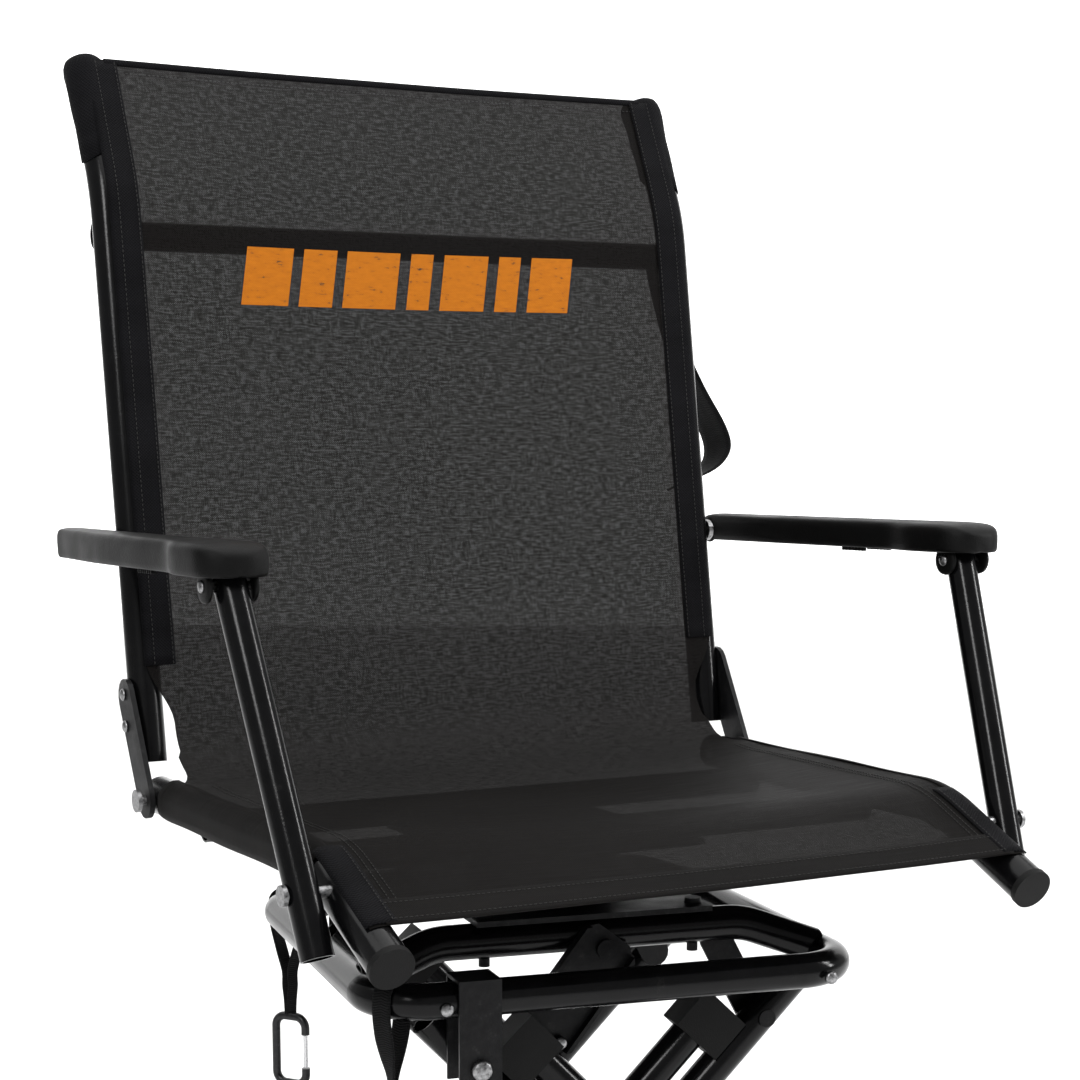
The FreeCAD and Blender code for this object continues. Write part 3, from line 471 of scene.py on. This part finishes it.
def offset_line(points, gaps):
    """The line moved to its left by a gap on each run, as seen with Y to the right and Z up."""
    runs = []
    for a, b, gap in zip(points, points[1:], gaps):
        way = (b - a).normalized()
        shift = Vector((-way.y, way.x)) * gap
        runs.append((a + shift, b + shift, way))
    out = [runs[0][0]]
    for (a, _, way), (c, _, other) in zip(runs, runs[1:]):
        cross = way.x * other.y - way.y * other.x
        t = ((c - a).x * other.y - (c - a).y * other.x) / cross
        out.append(a + way * t)
    return out + [runs[-1][1]]


def rounded(points, radii):
    out = [points[0]]
    for a, b, c, radius in zip(points, points[1:], points[2:], radii):
        into, away = (b - a).normalized(), (c - b).normalized()
        turn = into.angle(away)
        reach = radius * math.tan(turn / 2)
        centre = b + (away - into).normalized() * radius / math.cos(turn / 2)
        first, last = b - into * reach - centre, b + away * reach - centre
        steps = 24
        for step in range(steps + 1):
            t = step / steps
            arm = (first * math.sin((1 - t) * turn) + last * math.sin(t * turn)) / math.sin(turn)
            out.append(centre + arm)
    return out + [points[-1]]


SLING_LINE = rounded(offset_line([FRONT, SEAT_BEND, CREASE, BACK_BEND, BACK_TOP],
                                 [RAIL_RAD + CLOTH, RAIL_RAD + CLOTH, BACK_RAD + CLOTH, BACK_RAD + CLOTH]),
                     [125.0, CREASE_ROUND, 164.0])
SLING_RUNS = [0.0]
for first, second in zip(SLING_LINE, SLING_LINE[1:]):
    SLING_RUNS.append(SLING_RUNS[-1] + (second - first).length)
SLING_LONG = SLING_RUNS[-1]


def on_line(run):
    """Place and sitter's-side normal of the sling's middle line, in the seat's Y and Z."""
    run = min(max(run, 0.0), SLING_LONG)
    index = 0
    while index < len(SLING_RUNS) - 2 and SLING_RUNS[index + 1] < run:
        index += 1
    a, b = SLING_LINE[index], SLING_LINE[index + 1]
    part = (run - SLING_RUNS[index]) / max(SLING_RUNS[index + 1] - SLING_RUNS[index], 1e-9)
    before, after = SLING_LINE[max(index - 1, 0)], SLING_LINE[min(index + 2, len(SLING_LINE) - 1)]
    way = ((b - before).normalized().lerp((after - a).normalized(), part)).normalized()
    return a.lerp(b, part), Vector((-way.y, way.x))


def ease(value, low, high):
    t = min(max((value - low) / (high - low), 0.0), 1.0)
    return t * t * (3 - 2 * t)


def run_at(test):
    """First run along the sling where test(place) is true."""
    for step in range(2000):
        if test(on_line(SLING_LONG * step / 2000)[0]):
            return SLING_LONG * step / 2000
    return SLING_LONG


SEAT_END = run_at(lambda place: place.x > -22)
BACK_START = run_at(lambda place: place.y > 96)
CREASE_MID = run_at(lambda place: place.y > 34)
BACK_KNEE = run_at(lambda place: place.y > 440)


def half_width(run):
    """Half width: over the rails' tops, and drawn in where the cloth crosses the crease."""
    free = ease(run, SEAT_END - 26, SEAT_END + 18) * (1 - ease(run, BACK_START - 42, BACK_START + 8))
    side = RAIL_HALF + 7.0 if run < CREASE_MID else BACK_HALF + 2.0
    return side - 19.0 * free


def sling_point(run, x):
    place, normal = on_line(run)
    seat_part = 1 - ease(run, SEAT_END - 60, CREASE_MID)
    back_part = ease(run, CREASE_MID, BACK_START + 90)
    share = min(abs(x) / 250.0, 1.0)
    hammock = (1 - share ** 2)
    seat_sag = 10.0 * ease(run, 0, 170) * seat_part + 2.5
    back_sag = 11.0 * back_part * (1 - 0.75 * ease(run, BACK_KNEE, SLING_LONG))
    sink = hammock * (seat_sag * seat_part + back_sag)
    pull = math.exp(-((run - CREASE_MID) / 90.0) ** 2) * share ** 3
    ripple = 1.6 * pull * math.sin(run / 9.0 + (2.0 if x < 0 else 0.4))
    ripple += 0.35 * math.sin(run / 31.0 + x / 47.0) * math.sin(x / 83.0 - run / 120.0)
    rail = RAIL_HALF if run < CREASE_MID else BACK_HALF
    bend = (RAIL_RAD if run < CREASE_MID else BACK_RAD) + CLOTH
    past = min(max(abs(x) - rail, 0.0), bend * 0.98)
    drop = bend - math.sqrt(bend * bend - past * past)
    lowered = place - normal * (sink + drop - ripple * hammock ** 0.3)
    return Vector((x, lowered.x, lowered.y))


def on_sling(run, x, lift=0.0):
    """Point over the sling in metres, raised towards the sitter by lift in millimetres."""
    here = sling_point(run, x)
    step = 1.5
    along = sling_point(min(run + step, SLING_LONG), x) - sling_point(max(run - step, 0), x)
    side = sling_point(run, x + step) - sling_point(run, x - step)
    normal = side.cross(along).normalized()
    return SEAT + (here + normal * lift) * MM


def sling_patch(name, runs, edges, lift, thickness, look, body, columns=6):
    """Cloth laid on the sling between two edges, given as x at each run."""
    points, spread = [], []
    for run in runs:
        low, high = edges(run)
        for column in range(columns):
            x = low + (high - low) * column / (columns - 1)
            points.append(on_sling(run, x, lift))
            spread.append((x * MM, run * MM))
    made = add_mesh(name, points, grid(len(runs), columns), look, body, spread)
    if thickness:
        thicken(made, thickness * MM)
    return made


def span(low, high, step):
    count = max(int(abs(high - low) / step), 2)
    return [low + (high - low) * index / count for index in range(count + 1)]


def stitches(name, track, look, body, pitch=3.6, stitch=2.4, thick=0.34):
    """Short raised threads along a track of points, each a bar that dips at both ends."""
    line = evenly(track, max(int(length_of(track) / (pitch * MM)), 2))
    points, faces = [], []
    for a, b in zip(line, line[1:]):
        way = (b - a).normalized()
        side = way.orthogonal().normalized()
        other = way.cross(side)
        mid = (a + b) / 2
        base = len(points)
        for part, radius in ((-0.5, 0.25), (-0.3, 1.0), (0.3, 1.0), (0.5, 0.25)):
            for step in range(5):
                turn = 2 * math.pi * step / 5
                points.append(mid + way * part * stitch * MM
                              + (side * math.cos(turn) + other * math.sin(turn)) * thick * MM * radius)
        faces += [tuple(base + index for index in face) for face in grid(4, 5, True)]
    return add_mesh(name, points, faces, look, body)


ROWS = span(0.0, SLING_LONG, 6.0)
COLUMNS = 97
points, spread = [], []
for run in ROWS:
    half = half_width(run)
    for column in range(COLUMNS):
        u = -1 + 2 * column / (COLUMNS - 1)
        x = half * math.copysign(1 - (1 - abs(u)) ** 1.15, u)
        points.append(SEAT + sling_point(run, x) * MM)
        spread.append((x * MM, run * MM))
sling = add_mesh("mesh_sling", points, grid(len(ROWS), COLUMNS), MESH, None, spread)
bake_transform(sling)
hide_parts("seat_sling", "back_sling")

# hems, sleeves and pockets
BACK_RUNS = span(BACK_START + 4, SLING_LONG - 2, 8.0)
for side, word in ((-1, "right"), (1, "left")):
    strip = sling_patch("back_%s_edge_tape" % word, BACK_RUNS,
                        lambda run: (side * 230.5, side * (BACK_HALF + 3.0)), 0.9, 1.1, HEM, "back", 8)
    for offset in (232.4, 247.6):
        row = stitches("back_%s_seam_%d" % (word, int(offset)),
                       [on_sling(run, side * offset, 1.7) for run in BACK_RUNS], THREAD, "back")


def rail_sleeve(name, side, low, high, start, stop):
    """Cloth that leaves the top of a seat rail and passes round its outer side."""
    points, spread = [], []
    runs = span(low, high, 6.0)
    steps = 22
    for row, run in enumerate(runs):
        place, normal = on_line(run)
        centre = place - normal * (RAIL_RAD + CLOTH)
        fringe = 2.2 * math.sin(row * 1.7) if row in (0, len(runs) - 1) else 0.0
        for step in range(steps):
            turn = math.radians(start + (stop - start) * step / (steps - 1))
            reach = RAIL_RAD + 1.5 + 0.35 * math.sin(run / 23.0 + 3 * turn)
            out = centre + normal * reach * math.sin(turn)
            wide = min(reach * math.cos(turn), RAIL_RAD + BESIDE_BRACKET)
            points.append(SEAT + Vector((side * (RAIL_HALF + wide), out.x + fringe, out.y)) * MM)
            spread.append(((reach * turn) * MM, run * MM))
    made = add_mesh(name, points, grid(len(runs), steps), SLEEVE, "seat", spread)
    thicken(made, SLEEVE_THICK * MM)
    return made


STRUT_RUN = run_at(lambda place: place.x > -306)
for side, word in ((-1, "right"), (1, "left")):
    sleeve = rail_sleeve("seat_%s_sleeve" % word, side, STRUT_RUN, SEAT_END + 4, 96, -128)
    cover = sling_patch("seat_%s_edge_tape" % word, span(2, STRUT_RUN + 8, 6.0),
                        lambda run: (side * 238.0, side * (RAIL_HALF + 9.0)), 0.9, 1.2, HEM, "seat", 8)
    for offset in (228.0, 233.0):
        row = stitches("seat_%s_seam_%d" % (word, int(offset)),
                       [on_sling(run, side * offset, 0.4) for run in span(4, SEAT_END - 24, 8.0)],
                       THREAD, "seat")
    row = stitches("seat_%s_tape_seam" % word,
                   [on_sling(run, side * 240.5, 1.9) for run in span(3, STRUT_RUN + 6, 6.0)],
                   THREAD, "seat")

front_hem = sling_patch("front_hem", span(0.0, 26.0, 3.0), lambda run: (-246.0, 246.0), 0.7, 1.2,
                        SLEEVE, "seat", 80)
for offset in (5.0, 22.0):
    row = stitches("front_hem_seam_%d" % int(offset),
                   [on_sling(offset, x, 1.5) for x in span(-240, 240, 8.0)], THREAD, "seat")


def rolled_edge(name, run, reach, radius, look, body):
    """Rolled hem round a free edge of the sling."""
    points, spread = [], []
    columns = span(-reach, reach, 6.0)
    sides = 12
    for x in columns:
        spot = on_sling(run, x, 0.0)
        along = (on_sling(run, x, 0) - on_sling(run - 4, x, 0)).normalized()
        out = Vector((1, 0, 0)).cross(along).normalized()
        for step in range(sides):
            turn = 2 * math.pi * step / sides
            points.append(spot + (along * math.cos(turn) * 1.5 + out * math.sin(turn)) * radius * MM)
            spread.append((turn * radius * MM, x * MM))
    return add_mesh(name, points, grid(len(columns), sides, True), look, body, spread)


top_hem = rolled_edge("top_hem", SLING_LONG - 2.0, 240.0, 1.9, HEM, "back")
row = stitches("top_hem_seam", [on_sling(SLING_LONG - 11, x, 0.5) for x in span(-236, 236, 8.0)],
               THREAD, "back")

rail_top = Vector((0, 151.0, 556.0))
rail_way = (rail_top - Vector((0, 103.0, 456.0))).normalized()
for side, word in ((-1, "right"), (1, "left")):
    points, spread = [], []
    sides = 28
    rings = [(4.2, 2.0), (4.0, 7.0), (3.2, 11.0), (1.2, 13.8), (-2.5, 15.2), (-7.0, 15.8), (-14.0, 15.6),
             (-24.0, 15.0), (-36.0, 14.5), (-50.0, 14.1), (-64.0, 13.8), (-78.0, 13.6)]
    side_way = Vector((side, 0, 0))
    back_way = rail_way.cross(Vector((1, 0, 0))).normalized()
    for height, reach in rings:
        for step in range(sides):
            turn = 2 * math.pi * step / sides
            inward = max(-math.cos(turn), 0.0) ** 3
            wobble = 1 + 0.02 * math.sin(3 * turn + height / 6.0)
            tail = 9.0 * math.cos(turn + 0.6) * ease(-height, 30, 78)
            flat = (side_way * math.cos(turn) * (1 + 0.30 * inward)
                    + back_way * math.sin(turn) * (1 - 0.2 * inward))
            middle_line = side_way * BACK_HALF + rail_top + rail_way * (height - tail)
            points.append(SEAT + (middle_line + flat * reach * wobble) * MM)
            spread.append((reach * turn * MM, height * MM))
    faces = grid(len(rings), sides, True) + [tuple(reversed(range(sides)))]
    pocket = add_mesh("back_%s_pocket" % word, points, faces, HEM, "back", spread)
    thicken(pocket, 1.0 * MM)

# orange bars printed on the back
BAR_LOW, BAR_HIGH, BAR_LEAN = 375.0, 420.0, 9.0
BARS = [(-152, -112), (-103, -74), (-65, -18), (-8, 12), (22, 62), (72, 92), (102, 140)]
bar_low = run_at(lambda place: place.y > BAR_LOW)
bar_high = run_at(lambda place: place.y > BAR_HIGH)
points, spread, faces = [], [], []
for left, right in BARS:
    runs, columns, base = span(bar_low, bar_high, 5.0), 10, len(points)
    for run in runs:
        lean = BAR_LEAN * (run - bar_low) / (bar_high - bar_low)
        for column in range(columns):
            x = left + (right - left) * column / (columns - 1) + lean
            points.append(on_sling(run, x, 0.35))
            spread.append((x * MM, run * MM))
    faces += [tuple(base + index for index in face) for face in grid(len(runs), columns)]
bars = add_mesh("printed_bars", points, faces, INK, "back", spread)


# ---------------------------------------------------------------- armrests
ARM_LONG, ARM_NOSE = 343.0, 24.0
ARM_LIFT, ARM_DROOP = 5.0, math.radians(2.6)
EAR_HALF = 14.2


def arm_half(run, outer):
    """Half width of the armrest at a distance behind its nose, on its outer or inner side."""
    nose = math.sqrt(max(1 - (1 - min(run / 20.0, 1.0)) ** 2, 0.0))
    wide = 25.5 - 8.0 * ease(run, 56, 98)
    left = ARM_LONG + ARM_NOSE - run
    tail = math.sqrt(max(1 - (1 - min(left / 8.0, 1.0)) ** 2, 0.0))
    if outer:
        wide -= 7.5 * (1 - ease(left, 4, 130))
    return max(wide * (0.12 + 0.88 * nose) * (0.5 + 0.5 * tail), 0.6)


def armrest(side, word):
    """Moulded arm: crowned top, rolled shoulders, thin side walls and cheeks hung at its pivots."""
    pivot = middle("%s_arm_rivet" % word)
    turn = Matrix.Rotation(math.radians(1.8), 3, "X")
    lower = Matrix.Rotation(-ARM_DROOP, 3, "X")
    total = ARM_LONG + ARM_NOSE - 1.0
    stations = [0.0, 0.7, 2.0, 4.0, 7.0, 11, 16, 23, 32, 44, 56, 66, 76, 88, 100, 114]
    stations += span(130, total - 24, 22.0) + [total - 14, total - 8, total - 4, total - 1.5, total]
    points, spread = [], []
    profile = 23
    for run in stations:
        fall = 5.0 * (1 - math.sqrt(max(1 - (1 - min((total - run) / 8.0, 1.0)) ** 2, 0.0)))
        fall += 11.0 * (1 - math.sqrt(max(1 - (1 - min(run / 30.0, 1.0)) ** 2, 0.0)))
        for step in range(profile):
            u = -1 + 2 * step / (profile - 1)
            edge = abs(u)
            half = arm_half(run, u * side > 0)
            if edge < 0.60:
                x, z = half * (edge / 0.60) * 0.80, 23.6 - fall - 1.1 * (edge / 0.60) ** 2
            elif edge < 0.84:
                bend = (edge - 0.60) / 0.24 * math.pi / 2
                x = half * (0.80 + 0.20 * math.sin(bend))
                z = 22.5 - fall - 6.5 * (1 - math.cos(bend))
            else:
                part = (edge - 0.84) / 0.16
                x, z = half - 0.5 * part, (16.0 - fall) * (1 - part) + 0.6 * part
            flat_x = math.copysign(x, u) if u else 0.0
            spot = lower @ Vector((flat_x, run - ARM_NOSE, z)) + Vector((0, 0, ARM_LIFT))
            points.append(pivot + turn @ (spot * MM))
            spread.append((u * half * MM, run * MM))
    last = (len(stations) - 1) * profile
    skin = grid(len(stations), profile)
    skin += [tuple(reversed(range(profile))), tuple(range(last, last + profile))]
    made = add_mesh("%s_arm_moulding" % word, points, skin, ARM, None, spread)
    wall = made.modifiers.new("wall", "SOLIDIFY")
    wall.thickness = 3.0 * MM
    wall.offset = -1.0
    smooth = made.modifiers.new("smooth", "SUBSURF")
    smooth.levels = smooth.render_levels = 1
    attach(made, "%s_arm" % word)
    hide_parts("%s_armrest" % word)
    spots = [(pivot + Vector((wall_side * EAR_HALF, 0, 0)) * MM, Vector((wall_side, 0, 0)))
             for wall_side in (-1, 1)]
    rear = pivot + turn @ (Vector((-side * EAR_HALF, 330.0, 0)) * MM)
    spots.append((rear, Vector((-side, 0, 0))))
    ears = turned("%s_arm_ears" % word, spots, [(0.2 * MM, 0), (10.8 * MM, 0), (11.2 * MM, 1.2 * MM),
                                                (10.8 * MM, 2.8 * MM), (9.0 * MM, 3.6 * MM),
                                                (4.6 * MM, 3.7 * MM)],
                  ARM, "%s_arm" % word, 32)
    pin = turned("%s_arm_pin" % word, [(spots[0][0] + spots[0][1] * 3.7 * MM, spots[0][1])],
                 [(0.3 * MM, -37.4 * MM), (2.8 * MM, -37.2 * MM), (2.9 * MM, -36.6 * MM),
                  (2.9 * MM, -0.1 * MM), (4.2 * MM, 0), (4.2 * MM, 0.6 * MM), (3.4 * MM, 1.5 * MM),
                  (1.8 * MM, 2.1 * MM), (0.4 * MM, 2.3 * MM)], ZINC, "%s_arm" % word, 24)
    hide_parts("%s_arm_rivet" % word)
    ribs, faces = [], []
    for row in (0, 1):
        for run in span(total * 0.36, total * 0.36 + 26, 4.0):
            spot = lower @ Vector(((row * 2 - 1) * 12.5, run - ARM_NOSE, -0.2)) + Vector((0, 0, ARM_LIFT))
            centre, base = pivot + turn @ (spot * MM), len(ribs)
            for dx, dy, dz in ((-2, -1, -1.6), (2, -1, -1.6), (2, 1, -1.6), (-2, 1, -1.6),
                               (-2, -1, 3), (2, -1, 3), (2, 1, 3), (-2, 1, 3)):
                ribs.append(centre + Vector((dx, dy, dz)) * MM)
            faces += [tuple(base + i for i in face) for face in
                      ((3, 2, 1, 0), (0, 1, 5, 4), (1, 2, 6, 5), (2, 3, 7, 6), (3, 0, 4, 7), (4, 5, 6, 7))]
    ribbing = add_mesh("%s_arm_ribs" % word, ribs, faces, ARM, "%s_arm" % word, smooth=False)
    round_off(ribbing, 0.5 * MM)


armrest(-1, "right")
armrest(1, "left")

# ---------------------------------------------------------------- straps
LEAN = math.atan2(68.0, 430.0)
lean_turn = Matrix.Rotation(-LEAN, 3, "X")
foot = Vector((0, 35.0, 26.0))
lean_way = Vector((0, math.sin(LEAN), math.cos(LEAN)))
lean_behind = Vector((0, math.cos(LEAN), -math.sin(LEAN)))
strap_root = foot - lean_way * (26.0 / math.cos(LEAN)) + lean_behind * (BACK_RAD + 22.0)
strap_shape = [(258, 428), (261, 398), (269, 360), (285, 318), (303, 282), (307, 263), (299, 249),
               (284, 239), (262, 231)]
strap_line = smooth_line([SEAT + (Vector((0, strap_root.y, 0)) + lean_turn @ Vector((x, 0, z))) * MM
                          for x, z in strap_shape], 60)


def strap_across(index):
    twist = Vector((0.10 * math.sin(index / 9.0), 1, 0.12 * math.sin(index / 14.0)))
    return (lean_turn @ twist).normalized()


strap = tape("shoulder_strap_webbing", strap_line, strap_across, lambda index: 37.0 * MM, 1.8 * MM,
             WEB, "back")
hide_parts("shoulder_strap")
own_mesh(strap)


def base_spot(u, v, z):
    turned_spot = BASE_TURN @ Vector((u, v, 0))
    return Vector((SWIVEL.x + turned_spot.x * MM, SWIVEL.y + turned_spot.y * MM, z))


def hanging_loop(name, u, v, turn, drop, sway):
    """Webbing looped over a ring tube, its two runs drawn together below and hanging on."""
    way = BASE_TURN @ Vector((math.cos(turn), math.sin(turn), 0))
    along = BASE_TURN @ Vector((-math.sin(turn), math.cos(turn), 0))
    centre = base_spot(u, v, RING_Z)
    half = [(0.9, drop), (1.5, drop - 12), (1.3 + sway, 66), (2.6, 54), (7.0, 38), (12.2, 20), (14.4, 6)]
    shape = [(-x, -z) for x, z in half]
    shape += [(-14.9 * math.cos(math.radians(a)), 14.9 * math.sin(math.radians(a)))
              for a in (25, 60, 90, 120, 155)]
    shape += [(x, -z) for x, z in reversed(half)]
    line = smooth_line([centre + (way * x + Vector((0, 0, z))) * MM for x, z in shape], 90)

    def width(index):
        low = min(index, 89 - index) / 89
        return (8.0 + 5.5 * ease(low, 0.10, 0.30)) * MM

    def across(index):
        low = min(index, 89 - index) / 89
        spin = 0.9 * (1 - ease(low, 0.05, 0.30))
        return (along * math.cos(spin) + way * math.sin(spin)).normalized()

    made = tape(name, line, across, width, 1.5 * MM, WEB, "base")
    return made


CORNER = 174.0 - 40.0 * (1 - math.sqrt(0.5))
rear_loop = hanging_loop("rear_strap_loop", -CORNER, CORNER, math.radians(-45), 90.0, 1.5)
front_loop = hanging_loop("front_strap_loop", -CORNER, -CORNER, math.radians(45), 90.0, 2.5)
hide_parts("strap_loops")
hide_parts("strap_loops")

# ---------------------------------------------------------------- small hardware on the CAD pieces
DOME = [(4.6 * MM, 0), (4.4 * MM, 0.7 * MM), (3.3 * MM, 1.5 * MM), (1.4 * MM, 2.0 * MM),
        (0.3 * MM, 2.1 * MM)]
spots = []
plate_face = 250.0 + 14.3 + 0.5 + 4.0
for side in (-1, 1):
    for height in (54.0, 78.0):
        place = foot + lean_way * ((height - 26.0) / math.cos(LEAN))
        spots.append((SEAT + Vector((side * (plate_face + 1.0), place.y, place.z)) * MM,
                      Vector((side, 0, 0))))
rivets = turned("bracket_rivet_heads", spots, DOME, ZINC, "back", 20)

outward = BASE_TURN @ Vector((0, -1, 0))
ring_spots = [(base_spot(u, -way * 188.7, RING_Z - 3 * MM), outward * way)
              for u in (-131.0, 152.0) for way in (1, -1)]
ring_rivets = turned("ring_rivet_heads", ring_spots, DOME, ZINC, "base", 20)
for way, word in ((1, "front"), (-1, "rear")):
    bolt = turned("%s_saddle_bolt_head" % word,
                  [(base_spot(-108.0, -way * 192.7, RING_Z - 46 * MM), outward * way)],
                  [(7.0 * MM, -3 * MM), (7.2 * MM, 0.4 * MM), (5.8 * MM, 1.8 * MM), (2.8 * MM, 2.6 * MM),
                   (0.4 * MM, 2.8 * MM)], ZINC, "%s_slider" % word, 24)
catch = turned("latch_rivet_head", [(base_spot(-29.4, -127.4, RING_Z - 50.9 * MM), outward)],
               DOME, ZINC, "latch", 20)

# ---------------------------------------------------------------- floor and light
FLOOR_HALF = 60
floor_corners = [(x * FLOOR_HALF, y * FLOOR_HALF, 0) for x, y in ((-1, -1), (1, -1), (1, 1), (-1, 1))]
floor = add_mesh("studio_floor_plane", floor_corners, [(0, 1, 2, 3)], studio_floor(), None, smooth=False)

backdrop_look = Look("studio_backdrop", (0.9, 0.9, 0.9), 0.9, specular=0.0)
cloud = backdrop_look.noise(backdrop_look.place(), 0.5, 2.0)
backdrop_look.plug(backdrop_look.ramp(cloud, [(0.3, (0.98, 0.98, 0.98)), (0.7, (1.0, 1.0, 1.0))]),
                   "Emission Color")
backdrop_look.set("Emission Strength", 1.0)
far = -CAMERA_BACK.copy()
far.z = 0
far.normalize()
aside = far.cross(Vector((0, 0, 1)))
centre = far * 7.0
backdrop = add_mesh("studio_backdrop_wall", [centre + aside * x + Vector((0, 0, z)) for x, z in
                                             ((-7, -0.2), (7, -0.2), (7, 6), (-7, 6))], [(0, 1, 2, 3)],
                    backdrop_look.made, None, smooth=False)

WORLD_STRENGTH = 0.4
world = bpy.data.worlds.new("studio")
bpy.context.scene.world = world
world.use_nodes = True
world.node_tree.nodes["Background"].inputs["Color"].default_value = (1.0, 1.0, 1.0, 1.0)
world.node_tree.nodes["Background"].inputs["Strength"].default_value = WORLD_STRENGTH


def area_light(name, spot, aim, size, power):
    data = bpy.data.lights.new(name, "AREA")
    data.shape = "RECTANGLE"
    data.size, data.size_y = size
    data.energy = power
    made = bpy.data.objects.new(name, data)
    bpy.context.scene.collection.objects.link(made)
    made.location = spot
    made.rotation_euler = (Vector(aim) - Vector(spot)).to_track_quat("-Z", "Y").to_euler()


area_light("key_softbox", (-2.2, -2.0, 2.6), (0, 0, 0.6), (0.7, 1.6), 60)
area_light("right_strip", (2.0, -1.2, 1.6), (0, 0, 0.6), (0.25, 1.8), 40)
area_light("top_softbox", (0.2, 1.0, 4.2), (0.0, 1.4, 0), (6.0, 7.0), 250)

bpy.context.scene.view_settings.view_transform = "Standard"
